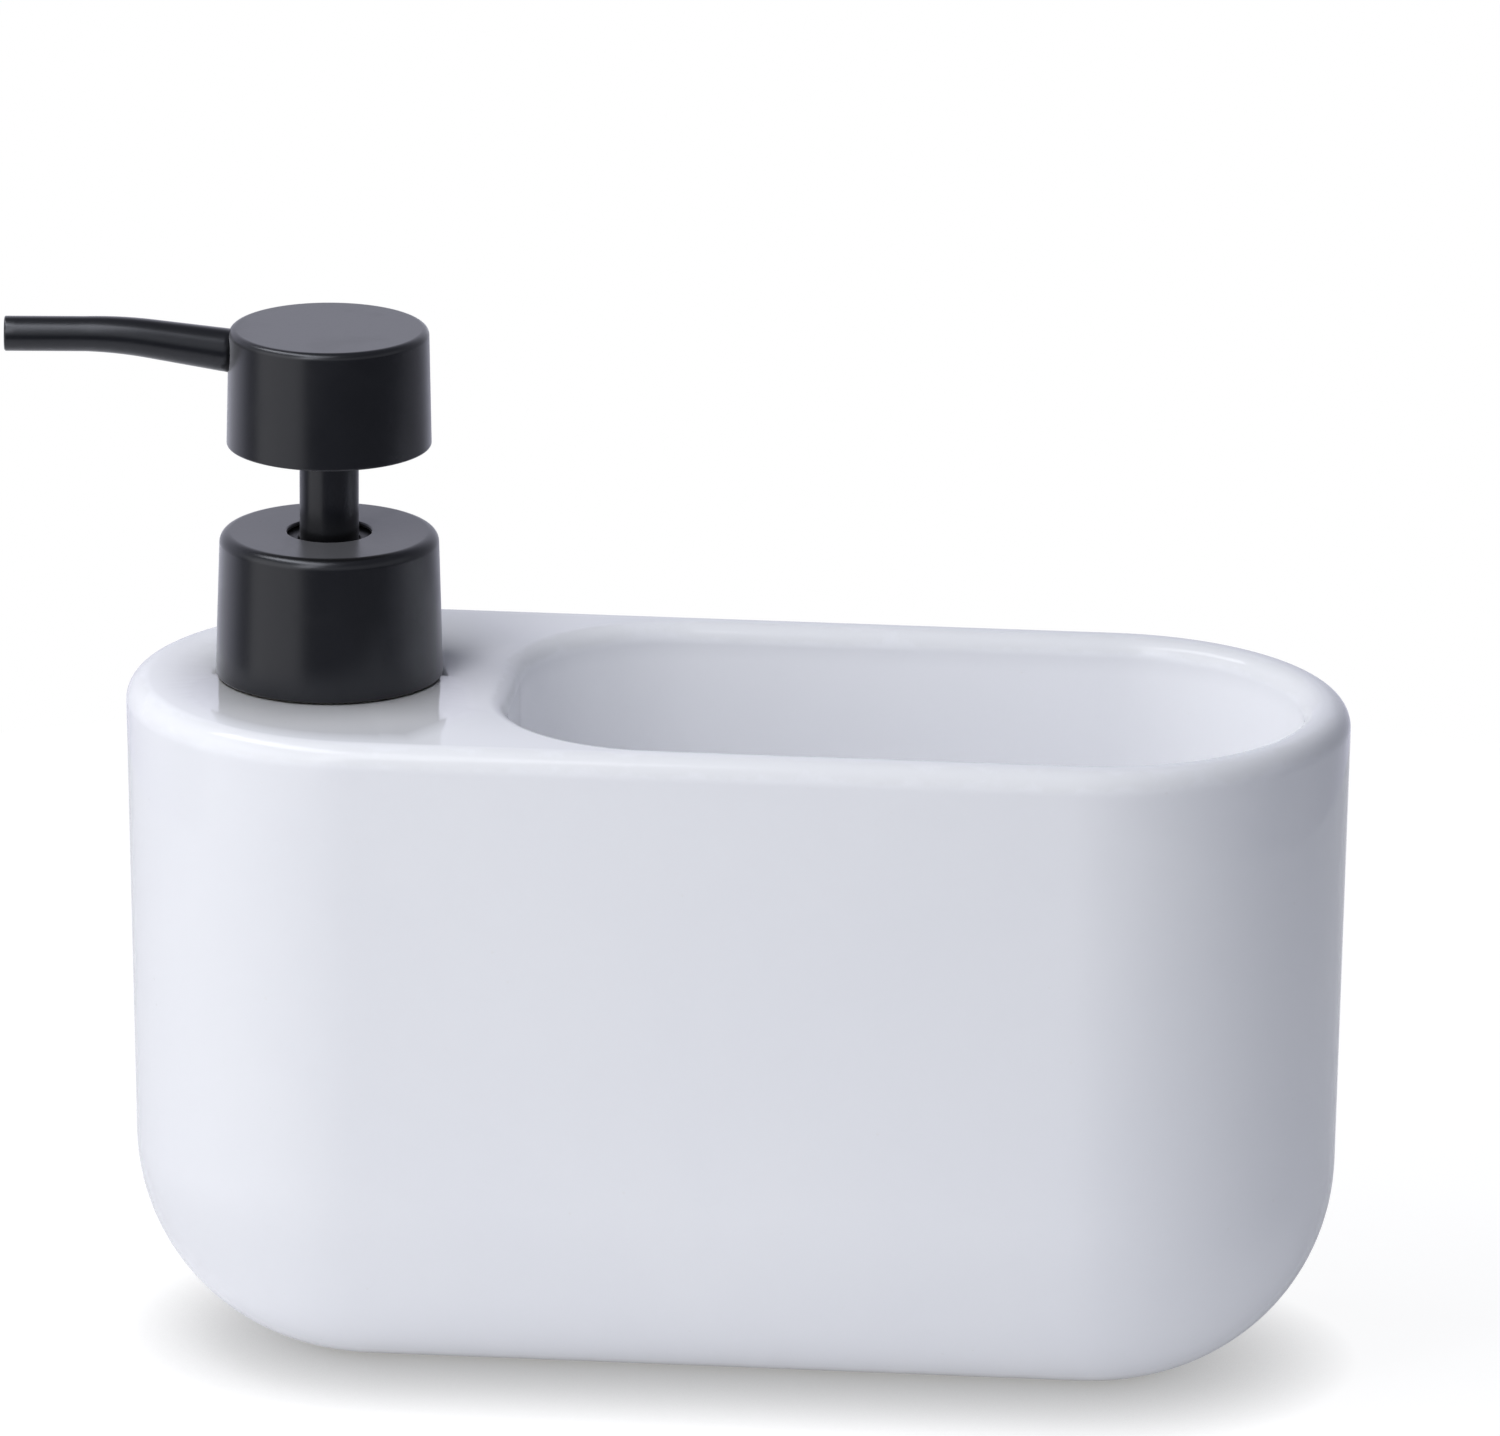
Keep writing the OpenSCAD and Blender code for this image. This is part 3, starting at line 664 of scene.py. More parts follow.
@dataclass(frozen=True)
class GlazeFinish:
    """Glossy white glaze over a warm body, bare on the foot, thinner where it runs off an edge.

    Painted light: the glaze is made whiter in the sponge well and on the deck round the pump, to lighten the shade
    there. Places are in millimetres.
    """

    white: Colour = (0.79, 0.797, 0.82)
    cool: Colour = (0.757, 0.766, 0.80)
    thin: Colour = (0.70, 0.705, 0.71)
    bare: Colour = (0.62, 0.58, 0.52)
    painted_light_white: Colour = (0.86, 0.865, 0.89)
    gloss: float = 0.03
    bare_z: Span = (0.30, 0.65)
    bare_waver: float = -0.0005
    well_end_x: float = 52.75
    well_edge: Span = (32.2, 33.8)
    well_start_x: Span = (-35.5, -34.5)
    well_top_z: Span = (96.0, 100.8)
    well_floor_z: Span = (50.0, 54.0)
    pump_x: float = -60.4
    pump_ring: Span = (25.0, 34.0)
    deck_z: Span = (96.0, 99.0)

    def painted_light_mask(self, wires: Wiring, x: Socket, y: Socket, z: Socket) -> Socket:
        """Finds where the glaze is painted whiter, as painted light in shaded places.

        Args:
            wires: The material's tree.
            x: Object coordinate along the block.
            y: Object coordinate across it.
            z: Object coordinate up.

        Returns:
            1 in the well and on the deck round the pump, 0 elsewhere.
        """

        def fade(value: Socket, span: Span, to: Span = (0.0, 1.0), smooth: bool = False) -> Socket:
            """Fade over a span in millimetres."""
            return wires.ranged(value, (span[0] * MM, span[1] * MM), to, smooth)

        def square(value: Socket) -> Socket:
            """Square of a value."""
            return wires.math("POWER", value, 2.0)

        along = wires.math("MAXIMUM", wires.minus(x, self.well_end_x * MM), 0.0)
        reach = wires.math("SQRT", wires.plus(square(along), square(y)))
        inside = wires.times(fade(reach, self.well_edge, FALLING), fade(x, self.well_start_x))
        level = wires.times(fade(z, self.well_top_z, FALLING, smooth=True), fade(z, self.well_floor_z))
        near = wires.math("SQRT", wires.plus(square(wires.plus(x, -self.pump_x * MM)), square(y)))
        deck = wires.times(fade(near, self.pump_ring, FALLING, smooth=True), fade(z, self.deck_z))
        return wires.math("MAXIMUM", wires.times(inside, level), deck)

    def build(self, effects: EffectTrees) -> bpy.types.Material:
        """Makes the material.

        Args:
            effects: The shared effects.

        Returns:
            The material.
        """
        coat = Coat("white_glaze", effects, IOR=1.28)
        wires, place = coat.wires, coat.wires.place()
        x, y, z = wires.split(place)
        drift = coat.effect(Effect.DRIFT, Scale=14.0, Detail=3.0, Warp=0.6)
        colour = coat.layer(drift, self.white, self.cool)
        # Painted light: whiter glaze in the well and on the deck round the pump lightens their shade.
        colour = coat.layer(self.painted_light_mask(wires, x, y, z), colour, self.painted_light_white)
        worn = coat.effect(Effect.EDGE_WEAR, Scale=110.0, Amount=0.55)
        colour = coat.layer(wires.times(worn, 0.35), colour, self.thin)
        pits = wires.add("ShaderNodeTexVoronoi", {"Vector": place, "Scale": 160.0, "Randomness": 1.0})
        pin = wires.ranged(pits.outputs["Distance"], (0.012, 0.05), FALLING, smooth=True)
        colour = coat.layer(wires.times(pin, 0.12), colour, self.bare)
        waver = coat.effect(Effect.DRIFT, Scale=260.0, Detail=4.0, Warp=0.0)
        line = wires.plus(z, wires.times(waver, self.bare_waver))
        bare = wires.ranged(line, (self.bare_z[0] * MM, self.bare_z[1] * MM), FALLING, smooth=True)
        coat.layer(bare, colour, self.bare)
        rough = wires.plus(coat.roughen(self.gloss, 26.0, 0.015), wires.times(bare, 0.6), clamp=True)
        wires.feed(coat.shader.inputs["Roughness"], rough)
        coat.relief(coat.effect(Effect.DRIFT, Scale=55.0, Detail=1.0, Warp=0.2), 0.018)
        grain = coat.effect(Effect.GRAIN, Scale=2600.0, Roughness=0.5, Cells=0.6)
        coat.relief(wires.times(grain, bare), 0.05)
        coat.relief(pin, -0.02)
        return coat.material


@dataclass(frozen=True)
class PaintFinish:
    """Satin black paint on metal with a fine grain, rubbed a little along the edges."""

    black: Colour = (0.0016, 0.0016, 0.0019)
    greyed: Colour = (0.0032, 0.0032, 0.0038)
    rubbed: Colour = (0.035, 0.034, 0.034)
    dusty: Colour = (0.20, 0.20, 0.20)
    satin: float = 0.275

    def build(self, effects: EffectTrees) -> bpy.types.Material:
        """Makes the material.

        Args:
            effects: The shared effects.

        Returns:
            The material.
        """
        coat = Coat(
            "satin_black_paint", effects, IOR=1.5, Specular_Tint=(0.90, 0.92, 1.0, 1.0),
            Sheen_Weight=0.50, Sheen_Roughness=0.35, Sheen_Tint=(0.95, 0.95, 1.0, 1.0),
        )
        drift = coat.effect(Effect.DRIFT, Scale=70.0, Detail=3.0, Warp=0.3)
        colour = coat.layer(drift, self.black, self.greyed)
        worn = coat.effect(Effect.EDGE_WEAR, Scale=900.0, Amount=0.15)
        colour = coat.layer(coat.wires.times(worn, 0.12), colour, self.rubbed)
        coat.layer(coat.effect(Effect.DUST, Scale=900.0, Amount=0.03), colour, self.dusty)
        coat.roughen(self.satin, 90.0, 0.05)
        coat.relief(coat.effect(Effect.GRAIN, Scale=2400.0, Roughness=0.6, Cells=0.4), 0.0035)
        return coat.material


@dataclass(frozen=True)
class MouldedFinish:
    """Injection-moulded plastic or rubber with a drifting tone, a fine grain and handling marks."""

    name: str
    tone: Colour
    deep: Colour
    rough: float = 0.42
    grain: float = 0.006
    grain_scale: float = 1500.0
    clear: float = 0.0
    ior: float = 1.49

    def build(self, effects: EffectTrees) -> bpy.types.Material:
        """Makes the material.

        Args:
            effects: The shared effects.

        Returns:
            The material.
        """
        coat = Coat(self.name, effects, IOR=self.ior, Transmission_Weight=self.clear)
        drift = coat.effect(Effect.DRIFT, Scale=95.0, Detail=3.0, Warp=0.4)
        colour = coat.layer(drift, self.tone, self.deep)
        pale = tuple(0.7 * c + 0.3 * max(self.tone) + 0.02 for c in self.tone)
        worn = coat.effect(Effect.EDGE_WEAR, Scale=700.0, Amount=0.4)
        coat.layer(coat.wires.times(worn, 0.3), colour, pale)
        coat.roughen(self.rough, 120.0, 0.08)
        coat.relief(coat.effect(Effect.GRAIN, Scale=self.grain_scale, Roughness=0.6, Cells=0.5), self.grain)
        return coat.material


@dataclass(frozen=True)
class SteelFinish:
    """Drawn and ground stainless steel."""

    tone: Colour = (0.60, 0.60, 0.61)
    deep: Colour = (0.48, 0.48, 0.50)
    rough: float = 0.22

    def build(self, effects: EffectTrees) -> bpy.types.Material:
        """Makes the material.

        Args:
            effects: The shared effects.

        Returns:
            The material.
        """
        coat = Coat("stainless_steel", effects, Metallic=1.0)
        coat.layer(coat.effect(Effect.DRIFT, Scale=240.0, Detail=4.0, Warp=0.5), self.tone, self.deep)
        coat.roughen(self.rough, 300.0, 0.15)
        coat.relief(coat.effect(Effect.GRAIN, Scale=3200.0, Roughness=0.7, Cells=0.1), 0.002)
        return coat.material


class Finishes:
    """Every finish of the caddy by its slot."""

    def __init__(self) -> None:
        """Builds the shared effects and the materials."""
        effects = shared_effects()
        recipes = {
            Slot.GLAZE: GlazeFinish(),
            Slot.BLACK_PAINT: PaintFinish(),
            Slot.STEEL: SteelFinish(),
            Slot.FOOT_PAD: MouldedFinish("pale_rubber", (0.66, 0.66, 0.64), (0.58, 0.58, 0.56), 0.72, 0.03, 700.0),
            Slot.IVORY: MouldedFinish("ivory_plastic", (0.72, 0.69, 0.60), (0.66, 0.63, 0.54), 0.38),
            Slot.SILICONE: MouldedFinish("grey_silicone", (0.55, 0.56, 0.57), (0.48, 0.49, 0.50), 0.55, 0.004),
            Slot.GASKET: MouldedFinish("dark_gasket", (0.09, 0.09, 0.09), (0.06, 0.06, 0.06), 0.68, 0.01, 1100.0),
            Slot.NATURAL: MouldedFinish("natural_plastic", (0.74, 0.75, 0.74), (0.66, 0.67, 0.67), 0.34, 0.003),
            Slot.GUIDE: MouldedFinish("charcoal_plastic", (0.030, 0.030, 0.033), (0.021, 0.021, 0.024), 0.40),
            Slot.TUBE: MouldedFinish(
                "milky_tube", (0.80, 0.81, 0.80), (0.74, 0.75, 0.75), 0.30, grain=0.002, clear=0.55, ior=1.46,
            ),
            Slot.DARK: MouldedFinish("dark_plastic", (0.020, 0.020, 0.023), (0.014, 0.014, 0.016), 0.44),
            Slot.PISTON: MouldedFinish("pale_blue_plastic", (0.66, 0.71, 0.74), (0.59, 0.64, 0.68), 0.40, 0.003),
            Slot.LINER: MouldedFinish("brown_liner", (0.36, 0.16, 0.07), (0.27, 0.11, 0.05), 0.36, 0.002),
        }
        self.materials = {slot: recipe.build(effects) for slot, recipe in recipes.items()}

    def dress_node(self, name: str, slot: Slot) -> None:
        """Gives a CAD node that stays in sight the finish of its slot.

        Args:
            name: Name of the node.
            slot: Its material slot.
        """
        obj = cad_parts[name]
        for holder in obj.material_slots:
            holder.material = self.materials[slot]
        if not obj.material_slots:
            obj.data.materials.append(self.materials[slot])
        LOG.info("CAD node %s keeps its shape, finish %s", name, slot.value)

    def settle(self, obj: bpy.types.Object, body: Body, slot: Slot, node: str) -> bpy.types.Object:
        """Finishes a piece: its material, its body, its slot and the CAD node that it stands for.

        Args:
            obj: The piece, in place.
            body: CAD body that it rides on.
            slot: Material slot.
            node: CAD node that it replaces.

        Returns:
            The piece.
        """
        obj.data.materials.clear()
        obj.data.materials.append(self.materials[slot])
        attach(obj, body.value)
        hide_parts(node)
        LOG.info("piece %s: %d faces, on %s, stands for %s", obj.name, len(obj.data.polygons), body.value, node)
        return obj


# ---------------------------------------------------------------- geometry node trees


class Section(Enum):
    """Cross-section of a wound piece."""

    WIRE = "wire"
    THREAD = "thread"


class ShapeTree:
    """Geometry tree with named inputs, which ends in Realize Instances and Set Material."""

    def __init__(self, name: str, floats: dict[str, float], whole: dict[str, int]) -> None:
        """Starts the tree.

        Args:
            name: Name of the tree.
            floats: Defaults of its inputs that are numbers.
            whole: Defaults of its inputs that are whole numbers.
        """
        self.tree = bpy.data.node_groups.new(name, "GeometryNodeTree")
        new_socket = self.tree.interface.new_socket
        new_socket(name="Geometry", in_out="INPUT", socket_type="NodeSocketGeometry")
        for kind, defaults in (("NodeSocketFloat", floats), ("NodeSocketInt", whole)):
            for key, value in defaults.items():
                new_socket(name=key, in_out="INPUT", socket_type=kind).default_value = value
        new_socket(name="Material", in_out="INPUT", socket_type="NodeSocketMaterial")
        new_socket(name="Geometry", in_out="OUTPUT", socket_type="NodeSocketGeometry")
        self.wires = Wiring(self.tree)
        self.value = self.wires.add("NodeGroupInput").outputs

    def node(self, kind: str, inputs: dict[str | int, object] | None = None, **settings: object) -> Socket:
        """Adds a geometry node by the end of its type name and returns its first result."""
        return self.wires.add("GeometryNode" + kind, inputs, **settings).outputs[0]

    def close(self, mesh: Socket) -> None:
        """Ends the tree in Realize Instances and Set Material.

        Args:
            mesh: The geometry that the tree has made.
        """
        real = self.node("RealizeInstances", {0: mesh})
        dressed = self.node("SetMaterial", {"Geometry": real, "Material": self.value["Material"]})
        self.wires.add("NodeGroupOutput", {0: dressed})

    def run(self, name: str, mesh: bpy.types.Mesh, **values: object) -> bpy.types.Mesh:
        """Runs the tree on a mesh and takes the result as a plain mesh.

        Args:
            name: Name of the result.
            mesh: The mesh that goes in.
            **values: Values of the inputs, with _ for a space.

        Returns:
            The plain mesh; the carrier object and its modifier are gone.
        """
        carrier = link(bpy.data.objects.new(name + "_carrier", mesh))
        modifier = carrier.modifiers.new(self.tree.name, "NODES")
        modifier.node_group = self.tree
        sockets = {item.name: item.identifier for item in self.tree.interface.items_tree if item.in_out == "INPUT"}
        for key, value in values.items():
            modifier[sockets[key.replace("_", " ")]] = value
        graph = bpy.context.evaluated_depsgraph_get()
        made = bpy.data.meshes.new_from_object(carrier.evaluated_get(graph), depsgraph=graph)
        carrier.modifiers.remove(modifier)
        bpy.data.objects.remove(carrier)
        made.name = name
        return made


class WoundTree(ShapeTree):
    """Sweeps a section up a screw line with flat first and last turns."""

    def __init__(self, section: Section) -> None:
        """Builds the tree for one kind of section.

        Args:
            section: What is wound: a round wire or a thread ridge.
        """
        super().__init__("wound_" + section.value, {
            "Low": 0.0, "Rise": 10.0, "Turns": 4.0, "Radius": 5.0, "Dead Share": 0.1, "Dead Rise": 1.0,
            "Width": 1.0, "Crest": 0.6, "Height": 1.0, "Run Out": 0.02,
        }, {"Steps": 200, "Sides": 16})
        wires, value = self.wires, self.value
        line = self.node("CurvePrimitiveLine", {"Start": (0, 0, 0), "End": (0, 0, 1)})
        path = self.node("ResampleCurve", {"Curve": line, "Count": value["Steps"]})
        along = wires.add("GeometryNodeSplineParameter").outputs["Factor"]
        dead = wires.times(value["Dead Share"], 2.0)
        middle = wires.minus(1.0, dead)
        climb = wires.over(wires.minus(along, value["Dead Share"]), middle, clamp=True)
        resting = wires.over(wires.minus(along, wires.times(climb, middle)), dead)
        z = wires.times(climb, wires.minus(value["Rise"], value["Dead Rise"]))
        z = wires.plus(wires.plus(z, wires.times(resting, value["Dead Rise"])), value["Low"])
        turn = wires.times(wires.times(along, value["Turns"]), 2 * math.pi)
        x = wires.times(wires.math("COSINE", turn), value["Radius"])
        y = wires.times(wires.math("SINE", turn), value["Radius"])
        place = wires.add("ShaderNodeCombineXYZ", {"X": x, "Y": y, "Z": z}).outputs[0]
        moved = self.node("SetPosition", {"Geometry": path, "Position": place})
        upright = self.node("SetCurveNormal", {"Curve": moved}, mode="Z_UP")
        nearest = wires.math("MINIMUM", along, wires.minus(1.0, along))
        swell = wires.math("POWER", wires.over(nearest, value["Run Out"], clamp=True), 0.5)
        sized = self.node("SetCurveRadius", {"Curve": upright, "Radius": wires.math("MAXIMUM", swell, 0.12)})
        if section is Section.WIRE:
            radius = wires.times(value["Width"], 0.5)
            outline = self.node("CurvePrimitiveCircle", {"Resolution": value["Sides"], "Radius": radius})
        else:
            flat = self.node("CurvePrimitiveQuadrilateral", {
                "Height": value["Height"], "Bottom Width": value["Width"], "Top Width": value["Crest"], "Offset": 0.0,
            }, mode="TRAPEZOID")
            outline = self.node("Transform", {"Geometry": flat, "Rotation": (0.0, 0.0, -math.pi / 2)})
        self.close(self.node("CurveToMesh", {
            "Curve": sized, "Profile Curve": outline, "Fill Caps": True, "Scale": self.node("InputRadius"),
        }))

    def mesh(self, name: str, material: bpy.types.Material, **values: float) -> bpy.types.Mesh:
        """Winds one mesh.

        Args:
            name: Name of the mesh.
            material: Its material.
            **values: Inputs of the tree, with _ for a space, in millimetres.

        Returns:
            The mesh, in millimetres about the origin.
        """
        return self.run(name, bpy.data.meshes.new(name), Material=material, **values)


class TubeTree(ShapeTree):
    """Sweeps an outer wall and a bore along a line of points."""

    def __init__(self) -> None:
        """Builds the tree."""
        super().__init__("swept_tube", {"Bore Radius": 1.0}, {"Sides": 48})
        path = self.node("MeshToCurve", {"Mesh": self.value["Geometry"]})
        reach = self.node("InputNamedAttribute", {"Name": "reach"}, data_type="FLOAT")
        outline = self.node("CurvePrimitiveCircle", {"Resolution": self.value["Sides"], "Radius": 1.0})
        walls = []
        for radius in (reach, self.value["Bore Radius"]):
            sized = self.node("SetCurveRadius", {"Curve": path, "Radius": radius})
            walls.append(self.node("CurveToMesh", {
                "Curve": sized, "Profile Curve": outline, "Scale": self.node("InputRadius"),
            }))
        both = self.wires.add("GeometryNodeJoinGeometry", {"Geometry": walls[0]})
        self.tree.links.new(self.node("FlipFaces", {"Mesh": walls[1]}), both.inputs[0])
        self.close(both.outputs[0])

    def mesh(
        self, name: str, path: Sequence[tuple[Vector, float]], bore: float, material: bpy.types.Material
    ) -> bpy.types.Mesh:
        """Sweeps one tube and closes its two ends.

        Args:
            name: Name of the mesh.
            path: Points in millimetres with the outer radius at each.
            bore: Radius of the bore.
            material: Its material.

        Returns:
            The closed mesh in millimetres.
        """
        line = bpy.data.meshes.new(name + "_path")
        line.from_pydata([p for p, _ in path], [(i, i + 1) for i in range(len(path) - 1)], [])
        line.attributes.new("reach", "FLOAT", "POINT").data.foreach_set("value", [r for _, r in path])
        made = self.run(name, line, Bore_Radius=bore, Sides=48, Material=material)
        work = bmesh.new()
        work.from_mesh(made)
        bmesh.ops.remove_doubles(work, verts=work.verts, dist=1e-4)
        middle = (path[0][0] + path[-1][0]) / 2
        way = path[-1][0] - path[0][0]
        rims = [e for e in work.edges if e.is_boundary]
        for side in (-1, 1):
            bmesh.ops.bridge_loops(work, edges=[e for e in rims if (e.verts[0].co - middle).dot(way) * side > 0])
        bmesh.ops.recalc_face_normals(work, faces=work.faces)
        work.to_mesh(made)
        work.free()
        return made


# ---------------------------------------------------------------- the caddy


FRONT, BACK, ASIDE = Vector((0, -1, 0)), Vector((0, 1, 0)), Vector((-1, 0, 0))


def oblong_spokes(span: float, round_steps: int, straight_steps: int) -> list[Spoke]:
    """Outline with two round ends and two straight sides, measured from its spine.

    Args:
        span: Half the distance between the centres of the round ends.
        round_steps: Steps in each round end.
        straight_steps: Steps in each side.

    Returns:
        The spokes, in order round the outline.
    """
    right, left = Vector((span, 0, 0)), Vector((-span, 0, 0))
    return (
        round_spokes(span, 0, 0, -90, 90, round_steps)
        + straight_spokes(right, left, BACK, 0, straight_steps)
        + round_spokes(-span, 0, 0, 90, 270, round_steps)
        + straight_spokes(left, right, FRONT, 0, straight_steps)
    )


@dataclass
class CaddyBody:
    """Glazed ceramic block with its soap chamber, sponge well, mouth and foot."""

    finishes: Finishes
    length: float = 180.5
    width: float = 75.0
    height: float = 101.8
    base_round: float = 33.0
    side_taper: float = 1.25
    foot_cut: float = 1.4
    foot_z: float = 0.5
    rim_round: float = 3.6
    recess_r: float = 10.05
    recess_z: float = 1.6
    well_r: float = 30.7
    well_end_x: float = 52.75
    well_corner: tuple[float, float, float] = (-9.5, 7.2, 23.5)
    lip_round: float = 3.0
    well_floor_z: float = 57.8
    well_floor_r: float = 8.0
    mouth_x: float = -60.4
    mouth_r: float = 14.6
    round_steps: int = 56
    slack: float = 0.02
    deck_slack: float = 0.01
    wall_slack: float = 0.05
    weld: float = 0.002

    def well_outline(self) -> list[Spoke]:
        """Plan of the well: a round end, two straight sides and two large corners.

        Returns:
            The spokes, in order round the well.
        """
        x, y, r = self.well_corner
        end, near = Vector((self.well_end_x, 0, 0)), Vector((x, 0, 0))
        return (
            round_spokes(self.well_end_x, 0, self.well_r, -90, 90, self.round_steps)
            + straight_spokes(end, near, BACK, self.well_r, 16)
            + round_spokes(x, y, r, 90, 180, 24)
            + straight_spokes(Vector((x, y, 0)), Vector((x, -y, 0)), ASIDE, r, 4)
            + round_spokes(x, -y, r, 180, 270, 24)
            + straight_spokes(near, end, FRONT, self.well_r, 16)
        )

    def side_profile(self) -> list[Station]:
        """Cross-section of the outside, from the recess of the foot up to the deck.

        Returns:
            The stations, measured out from the spine.
        """
        rim_x, rim_z = self.width / 2 - self.rim_round, self.height - self.rim_round
        base_x = self.width / 2 - self.side_taper - self.base_round
        base_z = self.foot_z - self.foot_cut + self.base_round
        apart = math.hypot(rim_x - base_x, rim_z - base_z)
        toward = math.degrees(math.atan2(rim_z - base_z, rim_x - base_x))
        side = toward - math.degrees(math.acos((self.base_round - self.rim_round) / apart))
        low = math.degrees(math.asin((self.foot_z - base_z) / self.base_round))
        return [
            Station(self.recess_r, self.recess_z),
            Station(self.recess_r, self.foot_z),
            *arc_stations(base_x, base_z, self.base_round, low, side, 30),
            *arc_stations(rim_x, rim_z, self.rim_round, side, 90, 14, wear=0.9),
        ]

    def well_profile(self) -> list[Station]:
        """Cross-section of the well, from the deck down to its floor.

        Returns:
            The stations, measured out from the well's outline.
        """
        floor_z = self.well_floor_z + self.well_floor_r
        return [
            *arc_stations(self.lip_round, self.height - self.lip_round, self.lip_round, 90, 180, 12, wear=0.9),
            *arc_stations(-self.well_floor_r, floor_z, self.well_floor_r, 0, -90, 12, inward=True),
        ]

    def chamber(self, shell: Shell) -> list[int]:
        """Adds the walls of the chamber and the mouth, copied from the CAD node and welded.

        Args:
            shell: The shell that gets them.

        Returns:
            The numbers of the mouth's upper ring, in order round the pump's axis.
        """
        work = bmesh.new()
        work.from_mesh(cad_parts["ceramic_body"].data)
        bmesh.ops.remove_doubles(work, verts=work.verts, dist=self.weld * MM)
        deck = (self.height - self.deck_slack) * MM

        def on_deck(face: bmesh.types.BMFace) -> bool:
            """Is this face a piece of the deck?"""
            return all(v.co.z > deck for v in face.verts)

        def at_mouth(face: bmesh.types.BMFace) -> bool:
            """Is this face a piece of the mouth's wall?

            Args:
                face: The face.

            Returns:
                True where it is.
            """
            reach = [math.hypot(v.co.x - self.mouth_x * MM, v.co.y) for v in face.verts]
            off = max(abs(r - self.mouth_r * MM) for r in reach)
            return off < self.wall_slack * MM and max(v.co.z for v in face.verts) > deck

        found = [f for f in work.faces if at_mouth(f) and not on_deck(f)]
        known = set(found)
        for face in found:
            for beside in [f for edge in face.edges for f in edge.link_faces]:
                if beside not in known and not on_deck(beside):
                    known.add(beside)
                    found.append(beside)
        numbers: dict[bmesh.types.BMVert, int] = {}
        for face in found:
            for v in face.verts:
                if v not in numbers:
                    numbers[v] = shell.add(v.co / MM)
            shell.faces.append(tuple(numbers[v] for v in face.verts))
        ring = [(math.atan2(v.co.y, v.co.x - self.mouth_x * MM), n) for v, n in numbers.items() if v.co.z > deck]
        work.free()
        return [n for _, n in sorted(ring)]

    def is_open(self, middle: Vector) -> bool:
        """Is a place on the deck over the well or the mouth?

        Args:
            middle: The place.

        Returns:
            True where the deck is open.
        """
        x, y, r = self.well_corner
        if middle.x > self.well_end_x:
            past, reach = math.hypot(middle.x - self.well_end_x, middle.y), self.well_r
        elif middle.x > x:
            past, reach = abs(middle.y), self.well_r
        else:
            past, reach = math.hypot(middle.x - x, max(abs(middle.y) - y, 0.0)), r
        in_mouth = math.hypot(middle.x - self.mouth_x, middle.y) < self.mouth_r - self.slack
        return past < reach + self.lip_round - self.slack or in_mouth

    def deck(self, shell: Shell, rim: Sequence[int], lip: Sequence[int], mouth: Sequence[int]) -> None:
        """Fills the deck between the outer rim, the lip of the well and the mouth.

        Args:
            shell: The shell that gets the faces.
            rim: Numbers of the outer rim's points.
            lip: Numbers of the lip's points.
            mouth: Numbers of the mouth's points.
        """
        numbers = [*rim, *lip, *mouth]
        edges, start = [], 0
        for ring in (rim, lip, mouth):
            count = len(ring)
            edges += [(start + i, start + (i + 1) % count) for i in range(count)]
            start += count
        flat = [shell.points[n].to_2d() for n in numbers]
        points, _, faces, origins, _, _ = delaunay_2d_cdt(flat, edges, [], 0, TINY)
        for face in faces:
            middle = sum((points[i] for i in face), Vector((0, 0))) / len(face)
            if not self.is_open(middle):
                shell.faces.append(tuple(numbers[origins[i][0]] for i in face))

    def build(self) -> None:
        """Builds the block as one closed mesh."""
        shell = Shell()
        outline = oblong_spokes((self.length - self.width) / 2, self.round_steps, 24)
        sides = loft(shell, outline, self.side_profile())
        shell.faces.append(tuple(sides[0]))
        well = loft(shell, self.well_outline(), self.well_profile(), mirrored=True)
        shell.faces.append(tuple(well[-1]))
        self.deck(shell, sides[-1], well[0], self.chamber(shell))
        self.finishes.settle(shell.piece("glazed_body"), Body.CADDY, Slot.GLAZE, "ceramic_body")


@dataclass
class FootPad:
    """Rubber pad with soft edges in the recess of the foot."""

    finishes: Finishes
    span: float = 52.75
    reach: float = 10.0
    thickness: float = 1.6
    edge_round: float = 0.35
    border: float = 2.0

    def build(self) -> None:
        """Builds the pad."""
        e, r, t = self.edge_round, self.reach, self.thickness
        rows = arc_stations(r - e, e, e, -90, 0, 5, wear=0.6) + arc_stations(r - e, t - e, e, 0, 90, 5, wear=0.6)
        rows = [Station(r - self.border, 0.0, 0.0, -1.0), *rows, Station(r - self.border, t, 0.0, 1.0)]
        shell = Shell()
        made = loft(shell, oblong_spokes(self.span, 32, 12), rows)
        shell.faces += [tuple(made[0]), tuple(made[-1])]
        self.finishes.settle(shell.piece("foot_pad"), Body.CADDY, Slot.FOOT_PAD, "base_pad")


# ---------------------------------------------------------------- the pump


PUMP_FOOT = Vector((-60.4, 0.0, 101.8))
Profile = Sequence[tuple[float, ...]]


